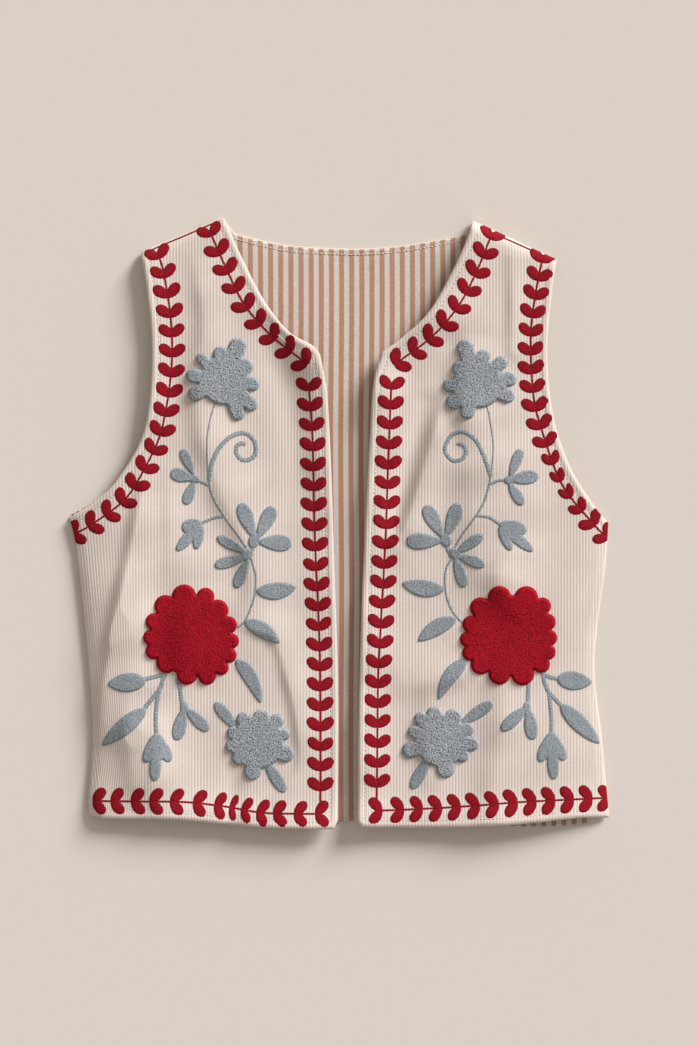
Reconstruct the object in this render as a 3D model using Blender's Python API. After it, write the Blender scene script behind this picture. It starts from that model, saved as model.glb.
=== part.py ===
"""Cropped open-front corduroy waistcoat, laid flat on its back.

The origin is in the middle of the garment's footprint, on the surface that it lies on: +X to the right as
seen from above, +Y towards the neck, +Z up. Tables are in millimetres and the mesh is made in metres. Left
and right are as seen from above, with the fronts facing up.
"""

import math

import bmesh
import bpy
import numpy as np
from mathutils import Vector
from mathutils.geometry import delaunay_2d_cdt

MM = 0.001

# Layers from the surface up. The lining is sewn inside the back, and both fronts lie on it.
BACK_THICK = 1.6
LINING_THICK = 0.9
SEAM_GAP = 0.3
FRONT_THICK = 2.2
EDGE_SHARE = 0.5  # share of a front's thickness left at its rounded edge
EDGE_ROUND = 2.5
LINING_TOP = BACK_THICK + SEAM_GAP + LINING_THICK

# How far a front stands off the lining: nothing at its seams, then a soft air gap under the cloth.
REST_LIFT = 2.0
MOST_LIFT = 3.8
SEAM_EASE = 16.0  # distance from a side or shoulder seam over which the front rises
SEAM_SLOPE = 8.0  # distance over which it comes down from the lining to the back at the seam

# Insets of the back from the fronts at the seams, and of the lining from the back.
BACK_INSET = 1.5
LINING_SEAM_INSET = 12.0
LINING_EDGE_INSET = 1.0

EDGE_STEP = 11.0  # spacing of the points along an outline
BODY_STEP = 19.0  # spacing of the points within a panel
CLEAR = 5.0  # no panel point lies nearer than this to a drawn line
MOTIF_TO_EDGE = 0.6  # a leaf pair that runs nearer to the rounded edge, or over it, isn't raised

# Each front's edge, stretch by stretch round the panel, as points that a smooth line passes through.
LEFT_EDGES = [
    # stretch, sewn to the back, points (x, y)
    ("shoulder", True, [(-172, 236), (-166.5, 239.5), (-136, 252), (-104.5, 265.5)]),
    ("neck", False, [(-100, 265.8), (-93.8, 252.8), (-85.2, 233.2), (-65, 194), (-43.5, 166.5), (-22.5, 154),
                     (-16, 146.2)]),
    ("front", False, [(-16, 146.2), (-10, 112.2), (-6.6, 52), (-3.6, -40), (-0.4, -140), (-0.4, -220),
                      (-0.9, -259)]),
    ("hem", False, [(-4, -265.7), (-22.7, -266), (-62.5, -264.7), (-102.5, -261.3), (-142.5, -257.7),
                    (-202.4, -257.3)]),
    ("side", True, [(-217.4, -254.6), (-218.4, -242), (-214.6, -180), (-220.4, -100), (-229.2, -20),
                    (-233.4, 0)]),
    ("armhole", False, [(-235.7, 3.7), (-213.2, 18.6), (-195, 34.5), (-173.1, 69.7), (-164.3, 107),
                        (-162.5, 156.6), (-167, 204.5), (-172, 236)]),
]
RIGHT_EDGES = [
    # stretch, sewn to the back, points (x, y)
    ("shoulder", True, [(117, 263.5), (134.3, 255.8), (177.6, 235.5), (190, 230)]),
    ("armhole", False, [(190, 230), (186.2, 205.6), (181.5, 150), (186.2, 96), (200.4, 51), (221, 17),
                        (235.1, 0)]),
    ("side", True, [(235.1, 0), (232.3, -40), (223.2, -120), (229.8, -191), (235.7, -255.5)]),
    ("hem", False, [(235.1, -256.7), (206, -256.8), (166.2, -260.7), (126.2, -263.3), (86.3, -264.7),
                    (46.3, -264.7), (20.4, -264)]),
    ("front", False, [(16.4, -259.3), (16.6, -215), (18, -140), (21.2, -40), (26.4, 64.5), (30.2, 121),
                      (38.1, 148.9)]),
    ("neck", False, [(38.1, 148.9), (55.2, 161.2), (79.5, 184.8), (100.4, 222.3), (112.6, 249.7),
                     (117, 263.5)]),
]
# The back's own edges: its neck is cut higher, and its hem shows in the gap and below the right front.
BACK_NECK = [(115.5, 260.2), (112.3, 253), (80, 246), (42, 240.6), (4, 239.4), (-47, 242.8), (-91.4, 253.3),
             (-98, 262)]
BACK_HEM = [(-216, -252.6), (-200, -254.5), (-142, -255.5), (-62, -261), (5, -260.8), (60, -261.2),
            (124, -263.6), (166, -265.7), (196, -264.6), (218, -262), (232.8, -255.2)]
ARMHOLE_SHOW = 1.6  # how far the back's left armhole shows past the front's, near the side
ARMHOLE_SHOW_AT = (-222, 14)
ARMHOLE_SHOW_REACH = 22.0

# Soft ridges (+) and troughs (-) of the fronts as they lie.
FOLDS = [
    # name, x1, y1, x2, y2, half width, height
    ("left side ridge", -176, 2, -206, -160, 17, 1.7),
    ("left swell beside the vine", -54, 100, -50, -40, 15, 0.9),
    ("left shoulder swell", -124, 225, -112, 160, 13, 0.9),
    ("left crease near the corner", -32, -188, -38, -216, 8, 1.0),
    ("left dip at the hem", -91, -270, -92, -214, 10, -1.6),
    ("right diagonal ridge", 90, 96, 62, 4, 11, 1.4),
    ("right hollow beside the front edge", 60, 12, 58, -40, 14, -1.0),
    ("right trough under the big flower", 145, -150, 144, -236, 12, -1.2),
    ("right lift at the hem", 204, -268, 202, -170, 26, 1.6),
    ("right shoulder swell", 150, 222, 142, 150, 13, 0.9),
]

# Raised embroidery. A flower is a round core with round-ended lobes: angle in degrees, reach and radius.
BLOOM_HEIGHT, BLOOM_BORDER = 3.2, 3.0
POMPON_HEIGHT, POMPON_BORDER = 3.8, 4.0
LEAF_HEIGHT, LEAF_BORDER = 1.3, 2.0
HEART_HEIGHT = 1.1
LOBE_POINTS = [-0.95, -0.5, 0.5, 0.95]  # drawn points round each lobe, as shares of its half width in degrees
VALLEY_ROOM = math.radians(1.5)  # at the least between a lobe's points and the valley beside it
BLOOMS = [
    # name, x, y, core radius, lobes
    ("left upper bloom", -99, 124.5, 22, [
        (34, 28.3, 7.6), (68.7, 38.9, 7.7), (98.5, 29.3, 7), (137.8, 32, 5.4), (173, 34.1, 6.2),
        (206.1, 35.1, 6.8), (291.2, 37.6, 6.6), (317.1, 37.4, 6.6), (351.4, 30.8, 6.3)]),
    ("left lower bloom", -70.5, -190.5, 23.5, [
        (16.6, 29.4, 5.4), (47.5, 31.2, 6.2), (80.1, 28.8, 8), (120.5, 29.6, 6.7), (158.6, 28.4, 6.2),
        (189, 28.3, 6.1), (220, 27.7, 6.7), (260.1, 33.5, 7.5), (337.7, 34, 7.7)]),
    ("right upper bloom", 121, 121.5, 22, [
        (7.1, 34.1, 6.4), (41.5, 32.7, 6), (78.4, 29.8, 6.3), (109.7, 40, 7.7), (140.9, 27.2, 7.4),
        (184.7, 30.7, 6.1), (217.9, 33.6, 7), (249, 33.5, 6.7), (337.1, 34.3, 6.8)]),
    ("right lower bloom", 89, -188.5, 23.5, [
        (22, 30.6, 6.3), (61.2, 29.8, 8), (104.3, 30.1, 7.4), (133.4, 31.4, 6.3), (162.8, 30.2, 6),
        (198.1, 35.4, 7.3), (279.3, 33.4, 8.2), (324.6, 29.1, 6.2), (352.6, 33.3, 6.2)]),
]
POMPONS = [
    # name, x, y, core radius, lobes
    ("left pompon", -127.9, -97.1, 35.5, [
        (14.8, 40.9, 7.5), (43, 40.6, 9.3), (69.7, 43.1, 7.8), (100.8, 44.4, 10.6), (131.9, 43.3, 9.6),
        (160.4, 41.7, 7.6), (183.7, 41.9, 7), (203.4, 42.7, 7.3), (228.5, 41.4, 9.3), (263.6, 43.7, 9),
        (290.7, 46, 7.8), (311.9, 45.1, 6.6), (331.6, 44, 6.5), (351.2, 41.9, 6.7)]),
    ("right pompon", 147.6, -97.7, 35.5, [
        (18.8, 43.2, 7.6), (40.7, 46.6, 7.6), (64.6, 46.4, 10.6), (103.6, 44.1, 10.2), (135.2, 43.3, 9.3),
        (163.6, 41.6, 7.5), (185.5, 42.6, 6.8), (204.3, 43.6, 7.1), (226.2, 43.7, 9), (256.5, 43.8, 9.6),
        (290.2, 45.7, 10.2), (318.8, 45.7, 7.8), (337.1, 44.2, 6.8), (356.5, 42.7, 7.1)]),
]
LEAVES = [
    # name, where it is widest as a share, width, bow, left front: base x, y, tip x, y, right front: the same
    ("upper sprig, upper leaf", 0.66, 9.2, 0, -125.5, 41.2, -136.2, 64.2, 148.1, 38.9, 158.4, 64.2),
    ("upper sprig, outer leaf", 0.62, 11.6, 0, -125.5, 38.5, -146.2, 43.6, 148.5, 37.4, 173.7, 41.1),
    ("upper sprig, lower leaf", 0.62, 9.4, 0, -125.3, 36.3, -133.4, 16, 147.5, 35.2, 160, 15.6),
    ("bud, cap", 0.55, 12.4, 0, -118.8, 0, -136.2, -5.2, 139.2, -1.6, 163.4, -6.5),
    ("bud, outer petal", 0.5, 9.4, 0, -121, -2, -140.6, -24, 142.2, -3, 168.8, -24.5),
    ("bud, inner petal", 0.5, 8.8, 0, -120, -1, -124, -22.9, 140, -2.2, 149.6, -23.9),
    ("spray, upper petal", 0.68, 12.8, 0, -72.2, -15.2, -85.1, 17.1, 91.8, -14.2, 75.2, 15.2),
    ("spray, middle petal", 0.68, 12.4, 0, -71.5, -15, -56.2, 14.2, 92.7, -14.2, 104.6, 17.3),
    ("spray, side petal", 0.66, 14, 0, -70.9, -16.3, -40.7, -17.9, 90.8, -15.5, 58.8, -16.1),
    ("low sprig, upper leaf", 0.64, 9.4, 0, -77.6, -26.8, -105.8, -12.2, 100.9, -26.6, 125.4, -10.4),
    ("low sprig, outer leaf", 0.64, 10, 0, -78.2, -28.5, -107.8, -37.4, 102.1, -27.8, 127, -37),
    ("low sprig, lower leaf", 0.64, 10, 0, -77.9, -30.6, -89.6, -56.4, 100.9, -28.4, 109.2, -56),
    ("upper vine leaf", 0.45, 13.6, -1.3, -71.4, -59.6, -36.8, -55.6, 92.1, -57.8, 55, -52.6),
    ("lower vine leaf", 0.45, 12.2, 0, -81.6, -86, -51, -104, 102, -82.8, 69, -102.5),
    ("leaf below the pompon", 0.36, 11.8, 3, -88.4, -118.6, -67.5, -156.5, 109.9, -119, 86.6, -153.4),
    ("side leaf", 0.45, 15.2, 0, -167.2, -137, -200.4, -139.9, 189.8, -135.6, 220.6, -138.8),
    ("long leaf", 0.42, 13.2, 0, -167.2, -161, -205.6, -193.2, 192.9, -157.8, 227.2, -192),
    ("tulip, cap", 0.62, 18.8, 0, -157.4, -182, -158.2, -206.5, 184.8, -181.5, 185.8, -206),
    ("tulip, middle petal", 0.62, 10, 0, -157.6, -188, -159.6, -223.8, 185, -186, 187.2, -223),
    ("tulip, left petal", 0.6, 9.6, 0, -157.4, -184, -168, -207.6, 184.2, -183, 174.6, -207.6),
    ("tulip, right petal", 0.6, 9.6, 0, -157.2, -184, -146.4, -207.2, 185, -183, 196.4, -206.4),
    ("end sprig, left leaf", 0.62, 11.2, 0, -134, -160, -140.8, -188.8, 164.6, -160.6, 168.8, -188.3),
    ("end sprig, right leaf", 0.6, 10.6, 0, -132.8, -160.4, -113.1, -180.6, 163.4, -160, 141.2, -179.9),
    ("bloom leaf above", 0.55, 9.9, 0, -92.2, -174.4, -107.5, -156, 111.3, -171.4, 134, -155.7),
    ("bloom leaf below", 0.55, 9.8, 0, -61.4, -210.9, -46.6, -233.8, 76.5, -207.9, 63.4, -231),
]
LEAF_RIM_SHARES = [0.1, 0.34, 0.62, 0.86, 0.97]
LEAF_TOP_SHARES = [0.34, 0.72]
# The leaf-pair vines run 15 to 16 mm inside the edges, and grow from the side seams to the shoulders.
HEART_WIDTH, HEART_LENGTH = 23.0, 13.5
VINES = [
    # name, front, number of leaf pairs, points (x, y) from the first pair to the last
    ("left hem", "left", 12, [(-208.5, -241.7), (-140.6, -242), (-103, -245.7), (-66.2, -251.5),
                              (-33.2, -252.6)]),
    ("left front edge", "left", 21, [(-15.7, -227.2), (-16.1, -122.8), (-17.9, -71), (-21, -1), (-22.3, 68.7),
                                     (-25.8, 120.3)]),
    ("left neck", "left", 9, [(-31.1, 140.8), (-58.6, 163), (-81.7, 189.7), (-97.8, 221.8), (-112.2, 254.3)]),
    ("left armhole", "left", 16, [(-214.9, -1.3), (-185.7, 20.6), (-167.8, 48.8), (-153.6, 81.8),
                                  (-145.5, 132.2), (-145.8, 176.6), (-152.6, 219.7), (-157.6, 234.9)]),
    ("right hem", "right", 11, [(218.7, -239.7), (153.2, -242.6), (102.8, -246.6), (51.3, -249.3)]),
    ("right front edge", "right", 21, [(33.3, -224.1), (34.4, -136.8), (36.9, -84.8), (40.7, -16.4),
                                       (43.8, 70.1), (46, 121.6)]),
    ("right neck", "right", 9, [(52.6, 140.5), (81.5, 162.2), (104.1, 188.5), (120.5, 219.9),
                                (133.3, 251.8)]),
    ("right armhole", "right", 16, [(222.1, -1), (194.7, 33), (177.1, 79.5), (169.2, 113.1), (167.2, 164.4),
                                    (171.3, 199), (177.6, 232)]),
]
LEFT_HEM_AT = [-208.5, -192.4, -174.5, -158.5, -140.6, -120.9, -103.2, -91.6, -80.2, -66.2, -51.2, -33.2]
# front, x, y, direction it grows
CORNER_HEARTS = [("left", -14.7, -252.6, 0.0), ("right", 32.4, -249.7, 180.0)]


def smooth_line(points, step):
    """A Catmull-Rom curve through the points, at roughly even steps, both ends kept."""
    p = np.array(points, float)
    p = np.vstack([2 * p[0] - p[1], p, 2 * p[-1] - p[-2]])
    line = [p[1]]
    for a, b, c, d in zip(p[:-3], p[1:-2], p[2:-1], p[3:]):
        count = max(1, round(float(np.linalg.norm(c - b)) / step))
        t = (np.arange(1, count + 1) / count)[:, None]
        bend = (2 * a - 5 * b + 4 * c - d) * t**2 + (3 * b - a - 3 * c + d) * t**3
        line.extend(0.5 * (2 * b + (c - a) * t + bend))
    return np.array(line)


def evenly(points, count):
    """The given number of places along a smooth curve, with the curve's direction at each."""
    line = smooth_line(points, 2.0)
    run = np.concatenate([[0], np.cumsum(np.linalg.norm(np.diff(line, axis=0), axis=1))])
    at = np.linspace(0, run[-1], count)
    places = np.column_stack([np.interp(at, run, line[:, k]) for k in (0, 1)])
    ahead = np.column_stack([np.interp(at + 3, run, line[:, k]) for k in (0, 1)])
    behind = np.column_stack([np.interp(at - 3, run, line[:, k]) for k in (0, 1)])
    ways = ahead - behind
    return places, np.degrees(np.arctan2(ways[:, 1], ways[:, 0]))


def joined(lines):
    """One closed loop from stretches that follow each other, without the points that they share."""
    loop = np.vstack(lines)
    keep = np.linalg.norm(loop - np.roll(loop, 1, axis=0), axis=1) > 0.5
    return loop[keep]


def distance(places, line):
    """The distance of each place from an open line of points."""
    a, b = line[:-1], line[1:]
    along = b - a
    gap = places[:, None, :] - a[None]
    t = np.clip((gap * along).sum(-1) / (along**2).sum(-1), 0, 1)
    return np.linalg.norm(gap - t[..., None] * along, axis=-1).min(axis=1)


def closed(loop):
    return np.vstack([loop, loop[:1]])


def within(places, loop):
    """Which places lie inside the closed loop, by the number of edges to their right."""
    x, y = places[:, 0, None], places[:, 1, None]
    (x1, y1), (x2, y2) = loop.T, np.roll(loop, -1, axis=0).T
    crosses = (y1 > y) != (y2 > y)
    with np.errstate(divide="ignore", invalid="ignore"):
        reach = x1 + (y - y1) * (x2 - x1) / (y2 - y1)
    return (crosses & (x < reach)).sum(axis=1) % 2 == 1


def inset(loop, depth):
    """The loop moved inwards by depth, one value or one for each point, along its corners' bisectors."""
    before, after = loop - np.roll(loop, 1, axis=0), np.roll(loop, -1, axis=0) - loop
    normals = []
    for way in (before, after):
        way = way / np.linalg.norm(way, axis=1)[:, None]
        normals.append(np.column_stack([-way[:, 1], way[:, 0]]))
    turn = np.roll(loop, -1, axis=0)
    area = float((loop[:, 0] * turn[:, 1] - loop[:, 1] * turn[:, 0]).sum())
    bisector = (normals[0] + normals[1]) * math.copysign(1, area)
    length = np.linalg.norm(bisector, axis=1)
    bisector = bisector / length[:, None]
    corner = np.clip(length / 2, 0.5, 1)
    return loop + bisector * (np.asarray(depth) / corner)[..., None]


def lobed_outline(x, y, core, lobes, shrink):
    """The outer line of a round core and round-ended lobes, each taken in by shrink: a point in every valley
    and some round every lobe, at the same angles for every shrink."""
    turns = np.radians([angle for angle, _, _ in lobes])
    valleys = (turns + np.append(turns[1:], turns[0] + 2 * np.pi)) / 2
    starts = np.append(valleys[-1] - 2 * np.pi, valleys[:-1])
    half_widths = np.array([math.asin(radius / (tip - radius)) for _, tip, radius in lobes])
    around = turns[:, None] + half_widths[:, None] * np.array(LOBE_POINTS)
    around = np.clip(around, starts[:, None] + VALLEY_ROOM * np.array([1, 2, 2, 2]),
                     valleys[:, None] - VALLEY_ROOM * np.array([2, 2, 2, 1]))
    angles = np.column_stack([starts, around]).ravel()
    reach = np.full(angles.shape, float(core - shrink))
    for angle, tip, radius in lobes:
        turn = angles - math.radians(angle)
        sine, cosine = np.abs(np.sin(turn)), np.cos(turn)
        middle, round_end = tip - radius, radius - shrink
        end = middle * cosine + np.sqrt(np.maximum(round_end**2 - (middle * sine) ** 2, 0))
        bar = np.where(round_end * cosine <= middle * sine, round_end / np.maximum(sine, 0.001), end)
        reach = np.where(cosine > 0, np.maximum(reach, bar), reach)
    return np.column_stack([x + reach * np.cos(angles), y + reach * np.sin(angles)])


def leaf_outline(base, tip, widest, width, bow, shrink):
    """A blunt leaf from its base to its tip round a bowed line; shrink gives the inner line of its flat
    top."""
    base, tip = np.array(base, float), np.array(tip, float)
    along = (tip - base) / np.linalg.norm(tip - base)
    across = np.array([-along[1], along[0]])
    share = np.array(LEAF_TOP_SHARES if shrink else LEAF_RIM_SHARES)
    power = math.log(0.5) / math.log(widest)
    half = width / 2 * np.sin(np.pi * share**power) ** 0.4 - shrink
    middle = base + np.outer(share, tip - base) + np.outer(bow * np.sin(np.pi * share), across)
    one, other = middle + half[:, None] * across, middle - half[:, None] * across
    ends = (np.empty((0, 2)), np.empty((0, 2))) if shrink else ([base], [tip])
    return np.vstack([ends[0], one, ends[1], other[::-1]])


def heart_outline(x, y, degrees):
    """A pair of round leaves that share a point behind and part at a notch in front."""
    half = np.array([(-0.5, 0), (-0.22, 0.27), (0.12, 0.47), (0.38, 0.44), (0.5, 0.25), (0.36, 0.1),
                     (0.06, 0)])
    whole = np.vstack([half, half[-2:0:-1] * (1, -1)]) * (HEART_LENGTH, HEART_WIDTH)
    way = math.radians(degrees)
    turn = np.array([[math.cos(way), math.sin(way)], [-math.sin(way), math.cos(way)]])
    lobes = np.array([(0.12, 0.25), (0.12, -0.25)]) * (HEART_LENGTH, HEART_WIDTH)
    return whole @ turn + (x, y), lobes @ turn + (x, y)


def motifs_of(side):
    """Each raised motif of one front: its outline, the lines and points of its top, its height and border."""
    found = []
    for flowers, height, border in ((BLOOMS, BLOOM_HEIGHT, BLOOM_BORDER),
                                    (POMPONS, POMPON_HEIGHT, POMPON_BORDER)):
        for name, x, y, core, lobes in flowers:
            if name.startswith(side):
                rim = lobed_outline(x, y, core, lobes, 0)
                top = lobed_outline(x, y, core, lobes, border)
                found.append((rim, [top], [], height, border))
    for _, widest, width, bow, lbx, lby, ltx, lty, rbx, rby, rtx, rty in LEAVES:
        base, tip = ((lbx, lby), (ltx, lty)) if side == "left" else ((rbx, rby), (rtx, rty))
        bow = bow if side == "left" else -bow
        rim = leaf_outline(base, tip, widest, width, bow, 0)
        top = leaf_outline(base, tip, widest, width, bow, LEAF_BORDER)
        found.append((rim, [], top, LEAF_HEIGHT, LEAF_BORDER))
    hearts = [(x, y, way) for front, x, y, way in CORNER_HEARTS if front == side]
    for name, front, count, points in VINES:
        if front == side:
            places, ways = evenly(points, count)
            if name == "left hem":
                places = np.column_stack([LEFT_HEM_AT, np.interp(LEFT_HEM_AT, *smooth_line(points, 2.0).T)])
            hearts += [(x, y, way) for (x, y), way in zip(places, ways)]
    for x, y, way in hearts:
        rim, lobes = heart_outline(x, y, way)
        found.append((rim, [], lobes, HEART_HEIGHT, HEART_WIDTH / 8))
    return found


def fold_height(places):
    """Each fold is a bell across its line, which fades past the line's ends."""
    height = np.zeros(len(places))
    for _, x1, y1, x2, y2, width, rise in FOLDS:
        away = distance(places, np.array([(x1, y1), (x2, y2)], float))
        height += rise * np.exp(-((away / width) ** 2))
    return height


def under_height(places, sewn):
    """The underside of a front: on the back at its seams, on the lining inside them, lifted by air and
    folds."""
    from_seam = np.min([distance(places, line) for line in sewn], axis=0)
    lift = np.clip(REST_LIFT + fold_height(places), 0.2, MOST_LIFT) * (1 - np.exp(-from_seam / SEAM_EASE))
    slope = np.clip(from_seam / SEAM_SLOPE, 0, 1)
    return BACK_THICK + SEAM_GAP + slope * (LINING_TOP - BACK_THICK) + lift


def raised(places, motifs):
    """How far the embroidery stands out of the cloth: a quarter round up from its outline."""
    height = np.zeros(len(places))
    for rim, _, _, rise, border in motifs:
        low, high = rim.min(axis=0), rim.max(axis=0)
        near = ((places >= low) & (places <= high)).all(axis=1)
        near[near] = within(places[near], rim)
        depth = distance(places[near], closed(rim))
        height[near] = np.maximum(height[near], rise * np.sin(np.pi / 2 * np.clip(depth / border, 0, 1)))
    return height


def spread(loop, lines, step):
    """Points of a triangular net inside the loop, clear of it and of the drawn lines."""
    low, high = loop.min(axis=0), loop.max(axis=0)
    rows = np.arange(low[1], high[1], step * 0.87)
    net = [(x + step / 2 * (k % 2), y) for k, y in enumerate(rows) for x in np.arange(low[0], high[0], step)]
    net = np.array(net)
    net = net[within(net, loop)]
    for line in [closed(loop)] + lines:
        net = net[distance(net, line) > CLEAR]
    return net


def triangles(loop, closed_lines, points):
    """A net of triangles inside the loop that follows each closed line. The loop's points come first."""
    places = [loop] + closed_lines + ([points] if len(points) else [])
    edges, first = [], len(loop)
    for line in closed_lines:
        edges += [(first + k, first + (k + 1) % len(line)) for k in range(len(line))]
        first += len(line)
    flat = [Vector(p) for p in np.vstack(places)]
    corners, _, faces, sources, _, _ = delaunay_2d_cdt(flat, edges, [list(range(len(loop)))], 1, 1e-4)
    rim = {s: k for k, found in enumerate(sources) for s in found if s < len(loop)}
    return np.array([tuple(c) for c in corners]), faces, [rim[k] for k in range(len(loop))]


def finish(name, mesh, collection, colour, roughness):
    material = bpy.data.materials.new(name + "_cloth")
    material.use_nodes = True
    shader = material.node_tree.nodes["Principled BSDF"]
    shader.inputs["Base Color"].default_value = (*colour, 1)
    shader.inputs["Roughness"].default_value = roughness
    mesh.materials.append(material)
    piece = bpy.data.objects.new(name, mesh)
    collection.objects.link(piece)
    return piece


def front_panel(side, edges, collection, colour):
    """One front: a plain inside, and an outside that carries the raised embroidery, joined round the edge."""
    stretches = {name: smooth_line(points, EDGE_STEP) for name, _, points in edges}
    sewn = [stretches[name] for name, is_sewn, _ in edges if is_sewn]
    loop = joined(list(stretches.values()))
    border = inset(loop, EDGE_ROUND)
    motifs = [m for m in motifs_of(side) if within(m[0], border).all()
              and distance(m[0], closed(border)).min() > MOTIF_TO_EDGE]
    drawn = [rim for rim, *_ in motifs] + [line for _, tops, *_ in motifs for line in tops]
    tops = [points for _, _, points, *_ in motifs if len(points)]
    eased = inset(loop, SEAM_SLOPE)
    eased = eased[(np.min([distance(eased, line) for line in sewn], axis=0) < SEAM_SLOPE * 1.1)
                  & within(eased, border)]
    for rim in drawn:
        eased = eased[distance(eased, closed(rim)) > CLEAR / 2]
    outer_net = spread(border, [closed(rim) for rim in drawn], BODY_STEP)
    outer = triangles(loop, [border] + drawn, np.vstack([outer_net, eased] + tops))
    inner = triangles(loop, [], np.vstack([spread(border, [], BODY_STEP), eased]))

    under = under_height(inner[0], sewn)
    from_edge = distance(outer[0], closed(loop))
    full = EDGE_SHARE + (1 - EDGE_SHARE) * np.sin(np.pi / 2 * np.clip(from_edge / EDGE_ROUND, 0, 1))
    over = under_height(outer[0], sewn) + FRONT_THICK * full + raised(outer[0], motifs)

    shell = bmesh.new()
    top = [shell.verts.new((x * MM, y * MM, z * MM)) for (x, y), z in zip(outer[0], over)]
    bottom = [shell.verts.new((x * MM, y * MM, z * MM)) for (x, y), z in zip(inner[0], under)]
    for face in outer[1]:
        shell.faces.new([top[k] for k in face])
    for face in inner[1]:
        shell.faces.new([bottom[k] for k in reversed(face)])
    for here, ahead in zip(range(len(loop)), [*range(1, len(loop)), 0]):
        shell.faces.new([top[outer[2][here]], top[outer[2][ahead]],
                         bottom[inner[2][ahead]], bottom[inner[2][here]]])
    bmesh.ops.recalc_face_normals(shell, faces=shell.faces)
    mesh = bpy.data.meshes.new("front_" + side)
    shell.to_mesh(mesh)
    shell.free()
    return finish("front_" + side, mesh, collection, colour, 0.9)


def flat_panel(name, loop, bottom, thickness, collection, colour):
    """A flat piece of cloth cut to the loop, from its bottom up."""
    outline = bpy.data.curves.new(name, "CURVE")
    outline.dimensions = "2D"
    outline.fill_mode = "BOTH"
    outline.extrude = thickness / 2 * MM
    spline = outline.splines.new("POLY")
    spline.points.add(len(loop) - 1)
    for point, (x, y) in zip(spline.points, loop):
        point.co = (x * MM, y * MM, 0, 1)
    spline.use_cyclic_u = True
    piece = finish(name, outline, collection, colour, 0.9)
    piece.location.z = (bottom + thickness / 2) * MM
    return piece


def back_loops():
    """The back's outline, inset from the fronts at the seams, and the lining's inside it."""
    left = {name: smooth_line(points, EDGE_STEP) for name, _, points in LEFT_EDGES}
    right = {name: smooth_line(points, EDGE_STEP) for name, _, points in RIGHT_EDGES}
    round_the_back = [
        ("edge", smooth_line(BACK_NECK, EDGE_STEP)),
        ("seam", left["shoulder"][::-1][1:-1]),
        ("armhole", left["armhole"][::-1]),
        ("seam", left["side"][::-1][1:-1]),
        ("edge", smooth_line(BACK_HEM, EDGE_STEP)),
        ("seam", right["side"][::-1][1:-1]),
        ("edge", right["armhole"][::-1]),
        ("seam", right["shoulder"][::-1][1:-1]),
    ]
    loop = np.vstack([line for _, line in round_the_back])
    kinds = np.concatenate([[kind] * len(line) for kind, line in round_the_back])
    show = np.exp(-((loop - ARMHOLE_SHOW_AT) ** 2).sum(axis=1) / ARMHOLE_SHOW_REACH**2)
    own = np.isin(kinds, ["edge"]) & (np.abs(loop[:, 0]) < 240)
    depth = np.where(kinds == "armhole", BACK_INSET - (BACK_INSET + ARMHOLE_SHOW) * show, BACK_INSET)
    depth = np.where(own & ((loop[:, 1] > 238) | (loop[:, 1] < -250)), 0.0, depth)
    back = inset(loop, depth)
    lining = inset(back, np.where(kinds == "seam", LINING_SEAM_INSET, LINING_EDGE_INSET))
    seams = [left["shoulder"], left["side"], right["shoulder"], right["side"]]
    from_seam = np.min([distance(lining, line) for line in seams], axis=0)
    return back, lining[from_seam > 0.9 * LINING_SEAM_INSET]


def main():
    for old in list(bpy.data.objects):
        bpy.data.objects.remove(old, do_unlink=True)
    waistcoat = bpy.data.collections.new("waistcoat")
    bpy.context.scene.collection.children.link(waistcoat)
    corduroy = (0.72, 0.64, 0.56)
    back, lining = back_loops()
    flat_panel("back", back, 0.0, BACK_THICK, waistcoat, corduroy)
    flat_panel("back_lining", lining, BACK_THICK + SEAM_GAP, LINING_THICK, waistcoat, (0.6, 0.42, 0.32))
    front_panel("left", LEFT_EDGES, waistcoat, corduroy)
    front_panel("right", RIGHT_EDGES, waistcoat, corduroy)


main()
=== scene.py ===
"""A cropped corduroy waistcoat laid flat with its fronts up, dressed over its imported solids.

Every section makes one piece or one family of pieces. Tables are in millimetres from the middle of the
garment, x to the right and y to the neck as seen from above, and each mesh is made in metres.
"""

import math

import bpy
import numpy as np
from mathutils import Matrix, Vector


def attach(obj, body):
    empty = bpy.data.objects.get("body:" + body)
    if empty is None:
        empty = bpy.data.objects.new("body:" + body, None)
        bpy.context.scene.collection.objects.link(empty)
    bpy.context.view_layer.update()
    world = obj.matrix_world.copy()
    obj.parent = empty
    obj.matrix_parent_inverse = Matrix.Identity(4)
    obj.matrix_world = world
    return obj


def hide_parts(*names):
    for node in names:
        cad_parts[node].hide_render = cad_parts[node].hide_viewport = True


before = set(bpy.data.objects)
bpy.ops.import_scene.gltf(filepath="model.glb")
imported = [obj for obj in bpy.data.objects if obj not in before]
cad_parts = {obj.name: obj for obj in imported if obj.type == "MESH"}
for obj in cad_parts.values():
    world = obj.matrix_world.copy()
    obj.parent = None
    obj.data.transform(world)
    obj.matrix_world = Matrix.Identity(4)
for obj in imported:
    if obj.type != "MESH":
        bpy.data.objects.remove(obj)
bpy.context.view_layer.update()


# Camera. It looks straight down, as the photograph does. One photograph pixel is 0.87 mm on the cloth, and
# the picture's middle is 8.6 mm to the right of the garment's.
VIEW_WIDTH = 0.6064
CAMERA_ASIDE, CAMERA_HEIGHT = 0.0086, 2.6
CLOTH_LEVEL = 0.008
FARTHEST_SEEN = 20
camera_data = bpy.data.cameras.new("camera")
camera_data.sensor_fit = "HORIZONTAL"
camera_data.lens = camera_data.sensor_width * (CAMERA_HEIGHT - CLOTH_LEVEL) / VIEW_WIDTH
camera_data.clip_end = FARTHEST_SEEN
camera = bpy.data.objects.new("camera", camera_data)
camera.location = (CAMERA_ASIDE, 0, CAMERA_HEIGHT)
bpy.context.scene.collection.objects.link(camera)
bpy.context.scene.camera = camera


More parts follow.
